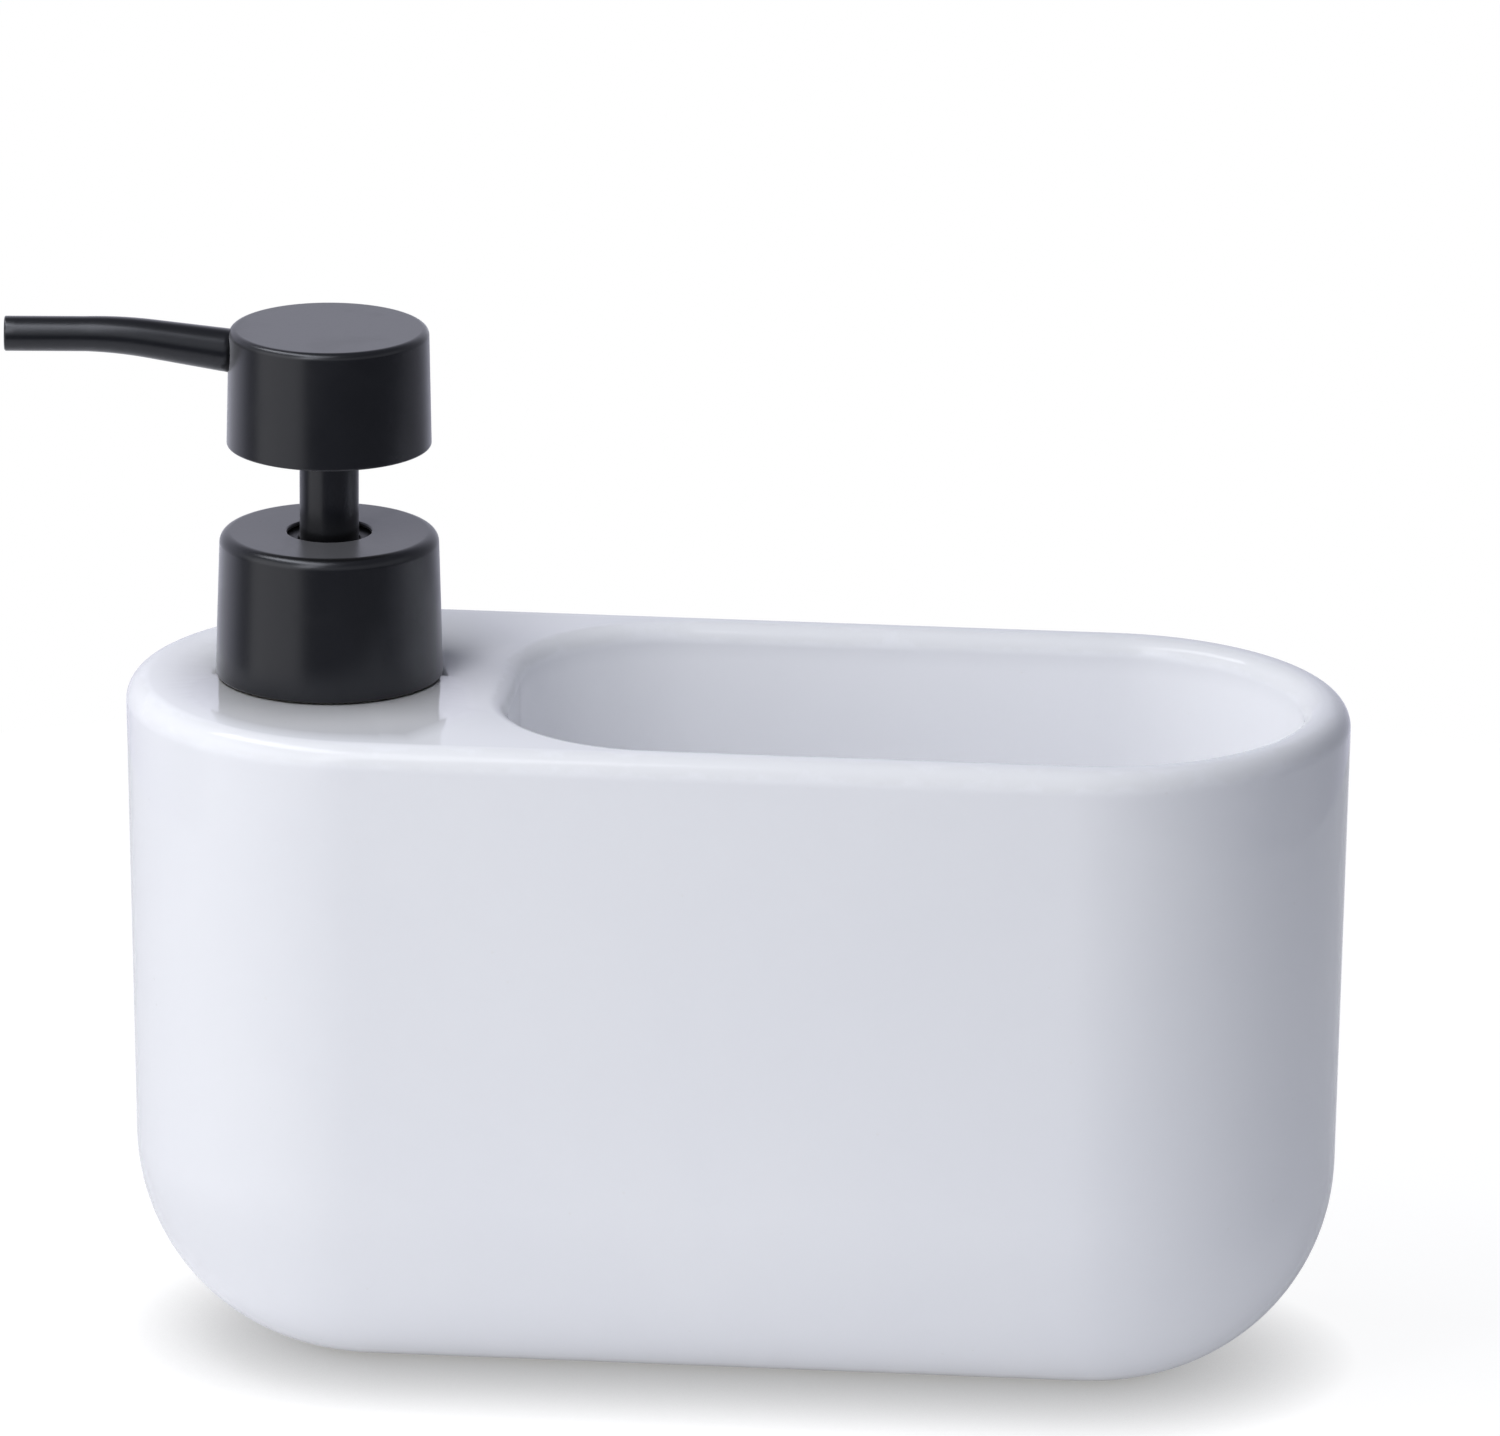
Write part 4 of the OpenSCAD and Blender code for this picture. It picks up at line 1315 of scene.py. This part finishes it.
@dataclass
class PumpPart:
    """A sub-assembly of the pump, whose pieces are turned round its axis."""

    finishes: Finishes

    def turn(
        self, name: str, node: str, body: Body, slot: Slot, profile: Profile, steps: int = 5, sides: int = 112,
        closed: bool = True, ridge: bpy.types.Mesh | None = None,
    ) -> None:
        """Turns one piece.

        Args:
            name: Name of the piece.
            node: CAD node that it replaces.
            body: CAD body that it rides on.
            slot: Material slot.
            profile: Radius, height, fillet and wear of each corner.
            steps: Steps in each fillet.
            sides: Number of sides.
            closed: True where the profile is a ring, false where both its ends lie on the axis.
            ridge: Screw thread that goes with it.
        """
        shell = lathe(filleted([Corner(*row) for row in profile], steps, closed), PUMP_FOOT, sides, closed)
        if ridge is not None:
            shell.absorb(ridge, PUMP_FOOT)
        self.finishes.settle(shell.piece(name), body, slot, node)

    def wrap(
        self, name: str, node: str, body: Body, slot: Slot, mesh: bpy.types.Mesh, crease: float = 35.0
    ) -> bpy.types.Object:
        """Makes a piece of a wound or swept mesh.

        Args:
            name: Name of the piece.
            node: CAD node that it replaces.
            body: CAD body that it rides on.
            slot: Material slot.
            mesh: The mesh, in millimetres about the pump's foot.
            crease: Angle in degrees above which an edge stays sharp.

        Returns:
            The piece.
        """
        shell = Shell()
        shell.absorb(mesh, PUMP_FOOT)
        return self.finishes.settle(shell.piece(name, crease), body, slot, node)


@dataclass
class ThreadedPart(PumpPart):
    """A sub-assembly with a screw thread of the neck's pitch."""

    thread: WoundTree
    turns: float = 1.25
    rise: float = 5.29
    dead_share: float = 0.05
    dead_rise: float = 0.529
    run_out: float = 0.07
    sunk: float = 0.5
    wide: float = 2.1
    narrow: float = 1.1

    def wind(self, name: str, slot: Slot, low: float, radii: Span, width: float, crest: float) -> bpy.types.Mesh:
        """Winds a thread.

        Args:
            name: Name of the mesh.
            slot: Material slot.
            low: Height of its lower end.
            radii: Its inner and outer radius.
            width: Width of its section at the inner radius.
            crest: Width of its section at the outer radius.

        Returns:
            The thread in millimetres about the pump's foot.
        """
        inner, outer = radii
        return self.thread.mesh(
            name, self.finishes.materials[slot], Low=low, Rise=self.rise, Turns=self.turns, Steps=120,
            Radius=(inner + outer) / 2, Height=outer - inner, Width=width, Crest=crest,
            Dead_Share=self.dead_share, Dead_Rise=self.dead_rise, Run_Out=self.run_out,
        )


@dataclass
class Neck(ThreadedPart):
    """Threaded neck that is pushed into the mouth, with its ribbed seal."""

    bore_r: float = 9.9
    plug_r: float = 13.3
    lip_r: float = 14.0
    lip_t: float = 1.2
    depth: float = 7.6
    flange_r: float = 15.7
    flange_t: float = 1.4
    root_r: float = 12.45
    crest_r: float = 13.7
    top: float = 15.3
    seal_r: float = 14.57
    seal_gap: float = 0.03
    seal_play: float = 0.05
    seal_ribs: int = 3
    thread_low: float = 6.1

    def build_insert(self) -> None:
        """Builds the neck with its thread."""
        low = -self.depth
        radii = (self.root_r - self.sunk, self.crest_r)
        ridge = self.wind("neck_thread", Slot.IVORY, self.thread_low, radii, self.wide, self.narrow)
        self.turn("threaded_neck", "neck_insert", Body.CADDY, Slot.IVORY, [
            (self.bore_r, low, 0.3), (self.lip_r, low, 0.35), (self.lip_r, low + self.lip_t, 0.15),
            (self.plug_r, low + self.lip_t, 0.15), (self.plug_r, 0.0, 0.1), (self.flange_r, 0.0, 0.2),
            (self.flange_r, self.flange_t, 0.35, 0.5), (self.root_r, self.flange_t, 0.5),
            (self.root_r, self.top, 0.3, 0.4), (self.bore_r, self.top, 0.4, 0.4),
        ], ridge=ridge)

    def build_seal(self) -> None:
        """Builds the ribbed seal round the plug."""
        low, high = self.lip_t - self.depth + self.seal_play, -self.seal_play
        inner = self.plug_r + self.seal_gap
        groove = (inner + self.seal_r) / 2
        step = (high - low) / self.seal_ribs
        profile = [(inner, low, 0.1)]
        for i in range(self.seal_ribs):
            z = low + i * step
            profile += [(groove, z, 0.1), (self.seal_r, z + step / 2, 0.3)]
        profile += [(groove, high, 0.1), (inner, high, 0.1)]
        self.turn("ribbed_seal", "mouth_seal", Body.CADDY, Slot.SILICONE, profile, steps=4)

    def build(self) -> None:
        """Builds the neck and its seal."""
        self.build_insert()
        self.build_seal()


@dataclass
class Collar(ThreadedPart):
    """Painted metal skin over a threaded plastic cap, with the guide seen in its hole."""

    low_r: float = 16.75
    top_r: float = 16.1
    low: float = 0.3
    top: float = 21.8
    skin: float = 0.6
    shoulder: float = 1.7
    hole_r: float = 6.25
    cap_r: float = 15.4
    cap_rim_r: float = 14.3
    cap_rim_t: float = 2.6
    cap_low: float = 2.2
    cap_top: float = 19.3
    cap_plate_t: float = 1.4
    cap_hole_r: float = 9.6
    cap_thread_r: float = 14.0
    cap_crest_r: float = 12.75
    cap_thread_low: float = 3.985
    guide_bore_r: float = 4.43
    guide_plug_r: float = 5.88
    guide_neck_r: float = 6.97
    guide_step_r: float = 8.33
    guide_rim_r: float = 9.28
    guide_low: float = 2.05
    guide_top: float = 20.85
    guide_plate_t: float = 1.0
    guide_plug_t: float = 5.3

    def build_skin(self) -> None:
        """Builds the painted skin, with a soft shoulder and a rolled edge at the hole."""
        plate = self.top - self.skin
        self.turn("collar_skin", "collar_skin_shell", Body.COLLAR, Slot.BLACK_PAINT, [
            (self.low_r - self.skin, self.low, 0.14), (self.low_r, self.low, 0.22, 0.9),
            (self.top_r, self.top, self.shoulder, 0.55), (self.hole_r, self.top, 0.28, 1.0),
            (self.hole_r, plate, 0.14), (self.top_r - self.skin + 0.02, plate, self.shoulder - self.skin),
        ], steps=9, sides=160)

    def build_cap(self) -> None:
        """Builds the screw cap with its thread."""
        plate, low_plate = self.top - self.skin, self.cap_top - self.cap_plate_t
        rim_bore_r = self.cap_rim_r - self.cap_rim_t
        radii = (self.cap_crest_r, self.cap_thread_r + self.sunk)
        ridge = self.wind("cap_thread", Slot.DARK, self.cap_thread_low, radii, self.narrow, self.wide)
        self.turn("screw_cap_threaded", "screw_cap", Body.COLLAR, Slot.DARK, [
            (self.cap_thread_r, self.cap_low, 0.2), (self.cap_r, self.cap_low, 0.2), (self.cap_r, self.cap_top, 0.3),
            (self.cap_rim_r, self.cap_top, 0.1), (self.cap_rim_r, plate, 0.2), (rim_bore_r, plate, 0.2),
            (rim_bore_r, self.cap_top, 0.2), (self.cap_hole_r, self.cap_top, 0.2), (self.cap_hole_r, low_plate, 0.2),
            (self.cap_thread_r, low_plate, 0.3),
        ], steps=4, ridge=ridge)

    def build_guide(self) -> None:
        """Builds the cap on the barrel that guides the stem."""
        plate_low, plug_low = self.guide_top - self.guide_plate_t, self.guide_top - self.guide_plug_t
        low_plate = self.cap_top - self.cap_plate_t + 0.05
        self.turn("stem_guide", "guide_cap", Body.PUMP, Slot.GUIDE, [
            (self.guide_bore_r, self.guide_low, 0.2), (self.guide_plug_r, self.guide_low, 0.3),
            (self.guide_plug_r, plug_low, 0.2), (self.guide_neck_r, plug_low, 0.2),
            (self.guide_neck_r, plate_low, 0.05), (self.guide_step_r, plate_low, 0.05),
            (self.guide_step_r, low_plate, 0.1), (self.guide_rim_r, low_plate, 0.2),
            (self.guide_rim_r, self.guide_top, 0.4), (self.guide_bore_r, self.guide_top, 0.45, 0.8),
        ])

    def build(self) -> None:
        """Builds the skin, the cap and the guide."""
        self.build_skin()
        self.build_cap()
        self.build_guide()


@dataclass
class ReturnSpring(PumpPart):
    """Coil of steel wire with closed ends."""

    coil: WoundTree
    low: float = -35.2
    high: float = -10.0
    wire: float = 0.9
    outer_d: float = 10.0
    turns: float = 9.0
    stroke: float = 12.5
    crease: float = 60.0

    def build(self) -> None:
        """Winds the spring."""
        length = self.high - self.low
        mesh = self.coil.mesh(
            "return_coil", self.finishes.materials[Slot.STEEL], Low=self.low + self.wire / 2, Rise=length - self.wire,
            Turns=self.turns, Radius=(self.outer_d - self.wire) / 2, Dead_Share=1 / self.turns,
            Dead_Rise=2 * self.wire, Width=self.wire, Run_Out=0.004, Steps=460, Sides=12,
        )
        obj = self.wrap("return_coil", "return_spring", Body.SPRING_SEAT, Slot.STEEL, mesh, self.crease)
        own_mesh(obj)


@dataclass
class Head(PumpPart):
    """Painted drum of the head with its stem sleeve, spout and liner."""

    tube: TubeTree
    low: float = 35.1
    top: float = 52.7
    low_r: float = 15.05
    top_r: float = 14.68
    edge_round: float = 1.1
    skin: float = 0.8
    sleeve_r: float = 4.35
    sleeve_bore_r: float = 3.23
    sleeve_low: float = 1.9
    sleeve_top: float = 39.5
    spout_reach: float = 47.5
    root_r: float = 3.2
    tip_r: float = 2.575
    tip_lip: float = 0.3
    bore_r: float = 1.85
    liner_bore_r: float = 1.25
    liner_gap: float = 0.03
    liner_start: float = 6.6
    liner_sunk: float = 0.05
    lip_steps: int = 5
    rise: float = 8.5
    yaw: float = 6.0
    root_u: float = 14.7
    root_drop: float = 3.5
    inside_us: tuple[float, ...] = (8.6, 12.0, 14.09)
    skin_u: float = 14.1
    bend_u: float = 26.0
    bend_r: float = 65.0
    bend_steps: int = 14
    straight_steps: int = 8

    def root_z(self, u: float) -> float:
        """Height of the spout's straight root at a distance from the pump's axis."""
        return self.top - self.root_drop + (u - self.root_u) * math.tan(math.radians(self.rise))

    def spout_line(self, start: float, end: float) -> list[tuple[float, float]]:
        """Follows the spout's middle line.

        Args:
            start: First distance from the pump's axis.
            end: Last distance.

        Returns:
            Distance and height of each point.
        """
        a, count = math.radians(self.rise), self.straight_steps
        centre_u = self.bend_u + self.bend_r * math.sin(a)
        centre_z = self.root_z(self.bend_u) - self.bend_r * math.cos(a)
        straight = [start + (self.bend_u - start) * i / count for i in range(count)]
        bend = [a * (1 - i / self.bend_steps) for i in range(self.bend_steps + 1)]
        level = [centre_u + (end - centre_u) * (i + 1) / count for i in range(count)]
        return (
            [(u, self.root_z(u)) for u in straight]
            + [(centre_u - self.bend_r * math.sin(b), centre_z + self.bend_r * math.cos(b)) for b in bend]
            + [(u, centre_z + self.bend_r) for u in level]
        )

    def build_drum(self) -> None:
        """Builds the drum, whose skin the spout runs through."""
        plate = self.top - self.skin
        self.turn("head_drum", "head_shell", Body.HEAD, Slot.BLACK_PAINT, [
            (0.0, plate), (self.top_r - self.skin, plate, 0.3), (self.low_r - self.skin, self.low, 0.2),
            (self.low_r, self.low, 0.3, 0.9), (self.top_r, self.top, self.edge_round, 0.6), (0.0, self.top),
        ], steps=9, sides=160, closed=False)

    def build_sleeve(self) -> None:
        """Builds the black tube between the collar and the head."""
        self.turn("stem_tube", "stem_sleeve", Body.HEAD, Slot.BLACK_PAINT, [
            (self.sleeve_bore_r, self.sleeve_low, 0.15), (self.sleeve_r, self.sleeve_low, 0.25),
            (self.sleeve_r, self.sleeve_top, 0.25), (self.sleeve_bore_r, self.sleeve_top, 0.15),
        ], steps=4, sides=96)

    def sweep(self, name: str, node: str, slot: Slot, path: Profile, bore: float) -> None:
        """Sweeps a tube along the spout.

        Args:
            name: Name of the piece.
            node: CAD node that it replaces.
            slot: Material slot.
            path: Distance, height and outer radius at each point.
            bore: Radius of the bore.
        """
        turn = math.radians(180 + self.yaw)
        points = [(Vector((u * math.cos(turn), u * math.sin(turn), z)), r) for u, z, r in path]
        mesh = self.tube.mesh(name, points, bore, self.finishes.materials[slot])
        self.wrap(name, node, Body.HEAD, slot, mesh)

    def build_spout(self) -> None:
        """Builds the spout, tapered to its bend, and the liner that shows at its tip."""
        lip, steps = self.tip_lip, self.lip_steps
        taper_end = self.bend_u + self.bend_r * math.sin(math.radians(self.rise))
        path = [(u, self.root_z(u), self.tip_r) for u in self.inside_us]
        for u, z in self.spout_line(self.skin_u, self.spout_reach - lip):
            share = max(0.0, min(1.0, (taper_end - u) / (taper_end - self.root_u)))
            path.append((u, z, self.tip_r + (self.root_r - self.tip_r) * share))
        end_z = path[-1][1]
        for i in range(1, steps + 1):
            t = math.pi / 2 * i / steps
            path.append((self.spout_reach - lip + lip * math.sin(t), end_z, self.tip_r - lip + lip * math.cos(t)))
        self.sweep("spout", "spout_tube", Slot.BLACK_PAINT, path, self.bore_r)
        line = self.spout_line(self.liner_start, self.spout_reach - self.liner_sunk)
        inner = [(u, z, self.bore_r - self.liner_gap) for u, z in line]
        self.sweep("spout_lining", "spout_liner", Slot.LINER, inner, self.liner_bore_r)

    def build(self) -> None:
        """Builds the head's pieces."""
        self.build_drum()
        self.build_sleeve()
        self.build_spout()


@dataclass
class InnerPump:
    """Inner pieces whose CAD shape is right and that only get their finish."""

    finishes: Finishes
    kept: dict[str, Slot] = field(default_factory=lambda: {
        "neck_gasket": Slot.GASKET, "pump_housing": Slot.NATURAL, "ball_retainer": Slot.NATURAL,
        "dip_tube": Slot.TUBE, "inlet_ball": Slot.STEEL, "piston": Slot.PISTON,
        "piston_stem": Slot.NATURAL, "head_insert": Slot.DARK,
    })

    def dress(self) -> None:
        """Dresses the CAD nodes."""
        for name, slot in self.kept.items():
            self.finishes.dress_node(name, slot)


# ---------------------------------------------------------------- stage


BLACK, WHITE = (0.0, 0.0, 0.0), (1.0, 1.0, 1.0)


@dataclass
class Table:
    """Plain white table under the caddy, which stays white for the camera. Its soft shadow is partly real and partly
    painted shade, and it glows faintly as painted fill light.
    """

    reach: float = 330.0
    rings: int = 4
    sides: int = 96
    z: float = -0.02
    glow: float = 0.14
    seen_glow: float = 0.90
    seen_share: float = 0.22
    painted_shade_reach: float = 16.0
    painted_shade: float = 0.62
    white: Colour = (0.82, 0.82, 0.83)
    greyer: Colour = (0.81, 0.81, 0.82)

    def build(self) -> None:
        """Builds the table top as a fine disc."""
        shell = Shell()
        rows = []
        for ring in range(self.rings + 1):
            sides, r = (self.sides if ring else 1), self.reach * ring / self.rings
            turns = [2 * math.pi * i / sides for i in range(sides)]
            rows.append([shell.add(Vector((r * math.cos(t), r * math.sin(t), self.z))) for t in turns])
        for low, high in zip(rows, rows[1:]):
            shell.strip(low, high)
        obj = shell.piece("table_top")
        obj.data.materials.append(self.cover())

    def cover(self) -> bpy.types.Material:
        """Makes the table's material.

        Returns:
            The material.
        """
        coat = Coat("white_table", {}, Roughness=0.9, Specular_IOR_Level=0.1, Emission_Color=(*WHITE, 1.0))
        wires = coat.wires
        drift = wires.add("ShaderNodeTexNoise", {"Vector": wires.place(), "Scale": 9.0}).outputs[0]
        seen = wires.add("ShaderNodeLightPath").outputs["Is Camera Ray"]
        tone = wires.blend(drift, self.white, self.greyer)
        coat.layer(wires.times(seen, 1.0 - self.seen_share), tone, BLACK)
        # Painted shade: near the caddy, ambient occlusion darkens the glow that the camera sees, a painted contact
        # shadow over the real one.
        near = wires.add("ShaderNodeAmbientOcclusion", {"Distance": self.painted_shade_reach * MM}, samples=8)
        painted_shade = wires.ranged(near.outputs["AO"], (0.0, 1.0), (self.seen_glow * (1.0 - self.painted_shade), self.seen_glow))
        # Painted light: to all other rays the table glows faintly and lights the caddy from below.
        glow = wires.add("ShaderNodeMix", {0: seen, 2: self.glow, 3: painted_shade}, data_type="FLOAT")
        wires.feed(coat.shader.inputs["Emission Strength"], glow.outputs[0])
        return coat.material


@dataclass(frozen=True)
class Softbox:
    """A soft rectangular lamp that points at the caddy.

    Its turn runs from the front to the left, its rise from the table up. Sizes are in millimetres.
    """

    name: str
    turn: float
    rise: float
    wide: float
    high: float
    radiance: float
    far: float = 1500.0
    spin: float = 0.0
    tint: Colour = (0.97, 0.98, 1.0)
    aim_z: float = 60.0

    def build(self) -> None:
        """Builds the lamp."""
        lamp = bpy.data.lights.new(self.name, "AREA")
        lamp.shape = "RECTANGLE"
        lamp.size, lamp.size_y = self.wide * MM, self.high * MM
        lamp.energy = self.radiance * math.pi * lamp.size * lamp.size_y
        lamp.color = self.tint
        obj = link(bpy.data.objects.new(self.name, lamp))
        turn, rise = math.radians(self.turn), math.radians(self.rise)
        away = Vector((-math.sin(turn) * math.cos(rise), -math.cos(turn) * math.cos(rise), math.sin(rise)))
        aim = away.to_track_quat("Z", "Y").to_matrix() @ Matrix.Rotation(math.radians(self.spin), 3, "Z")
        place = Vector((0, 0, self.aim_z * MM)) + away * self.far * MM
        obj.matrix_world = Matrix.Translation(place) @ aim.to_4x4()


@dataclass
class Studio:
    """White surround for the camera, and for the caddy a dim room with a lit front wall and three softboxes.

    The spans are where one part of the room fades into the next, as parts of a direction's length.
    """

    back: Colour = (0.26, 0.27, 0.34)
    mirrored_back: Colour = (0.67, 0.675, 0.80)
    low_front: Colour = (0.12, 0.13, 0.18)
    front: Colour = (0.72, 0.74, 0.79)
    roof_back: Colour = (0.15, 0.155, 0.20)
    roof_front: Colour = (0.27, 0.285, 0.335)
    behind_y: Span = (0.05, 0.42)
    level_z: Span = (0.0, 0.15)
    above_z: Span = (0.42, 0.75)
    flagged_x: Span = (0.15, 0.75)
    flag: float = 0.25
    mirrored_flag: float = 2.4
    boxes: tuple[Softbox, ...] = (
        Softbox("side_softbox", turn=52.0, rise=4.0, wide=1700.0, high=2300.0, radiance=1.01, tint=(1.0, 0.983, 0.945)),
        Softbox("near_softbox", turn=25.7, rise=49.6, wide=110.0, high=380.0, radiance=4.2, far=479.0),
        Softbox("top_softbox", turn=82.0, rise=62.0, wide=440.0, high=150.0, radiance=6.6, far=600.0, spin=28.0),
    )

    def build_surround(self) -> None:
        """Builds the world: white for the camera, a studio for everything else."""
        world = bpy.data.worlds.new("studio_surround")
        bpy.context.scene.world = world
        world.use_nodes = True
        world.node_tree.nodes.clear()
        wires = Wiring(world.node_tree)
        x, y, z = wires.split(wires.place("Generated"))
        behind = wires.ranged(y, self.behind_y, smooth=True)
        level = wires.ranged(z, self.level_z, smooth=True)
        above = wires.ranged(z, self.above_z, smooth=True)
        flagged = wires.ranged(x, self.flagged_x, (0.0, self.flag), smooth=True)
        colour = wires.blend(behind, wires.blend(level, self.low_front, self.front), self.back)
        colour = wires.blend(above, colour, wires.blend(behind, self.roof_front, self.roof_back))
        colour = wires.blend(flagged, colour, BLACK)
        mirror = wires.blend(wires.times(flagged, self.mirrored_flag), self.mirrored_back, BLACK)
        studio, cool, white = (
            wires.add("ShaderNodeBackground", {"Color": shown, "Strength": 1.0}).outputs[0]
            for shown in (colour, mirror, (*WHITE, 1.0))
        )
        ray = wires.add("ShaderNodeLightPath").outputs
        mirrored = wires.math("MAXIMUM", ray["Is Glossy Ray"], ray["Is Transmission Ray"])
        mirrored = wires.times(mirrored, wires.times(behind, wires.minus(1.0, above)))
        shown = wires.add("ShaderNodeMixShader", {0: mirrored, 1: studio, 2: cool}).outputs[0]
        mixed = wires.add("ShaderNodeMixShader", {0: ray["Is Camera Ray"], 1: shown, 2: white}).outputs[0]
        wires.add("ShaderNodeOutputWorld", {"Surface": mixed})

    def build(self) -> None:
        """Builds the light."""
        self.build_surround()
        for box in self.boxes:
            box.build()


@dataclass
class PhotoCamera:
    """Camera of the photograph, taken as 1500 x 1436 pixels."""

    turn: float = 5.74
    rise: float = 17.0
    roll: float = 0.37
    focal_px: float = 16000.0
    frame_px: float = 1500.0
    sensor: float = 36.0
    clip: Span = (0.1, 20.0)
    far: float = 2352.0
    aim: tuple[float, float, float] = (1.89, 0.0, 97.1)

    def build(self) -> None:
        """Builds the camera and makes it the scene's."""
        a, e, r = (math.radians(v) for v in (self.turn, self.rise, self.roll))
        back = Vector((math.sin(a) * math.cos(e), -math.cos(a) * math.cos(e), math.sin(e)))
        right = Vector((math.cos(a), math.sin(a), 0.0))
        up = back.cross(right)
        side = right * math.cos(r) + up * math.sin(r)
        top = up * math.cos(r) - right * math.sin(r)
        data = bpy.data.cameras.new("photo_camera")
        data.sensor_fit = "HORIZONTAL"
        data.sensor_width = self.sensor
        data.lens = self.focal_px / self.frame_px * self.sensor
        data.clip_start, data.clip_end = self.clip
        obj = link(bpy.data.objects.new("photo_camera", data))
        place = (Vector(self.aim) + back * self.far) * MM
        axes = Matrix((side, top, back)).transposed().to_4x4()
        obj.matrix_world = Matrix.Translation(place) @ axes
        bpy.context.scene.camera = obj


def main() -> None:
    """Builds the caddy's pieces in order, then the stage, the light and the camera."""
    logging.basicConfig(level=logging.INFO, format="%(name)s: %(message)s")
    finishes = Finishes()
    thread = WoundTree(Section.THREAD)
    CaddyBody(finishes).build()
    FootPad(finishes).build()
    Neck(finishes, thread).build()
    Collar(finishes, thread).build()
    ReturnSpring(finishes, WoundTree(Section.WIRE)).build()
    Head(finishes, TubeTree()).build()
    InnerPump(finishes).dress()
    Table().build()
    Studio().build()
    PhotoCamera().build()
    bpy.context.scene.view_settings.view_transform = "Standard"


if __name__ == "__main__":
    main()
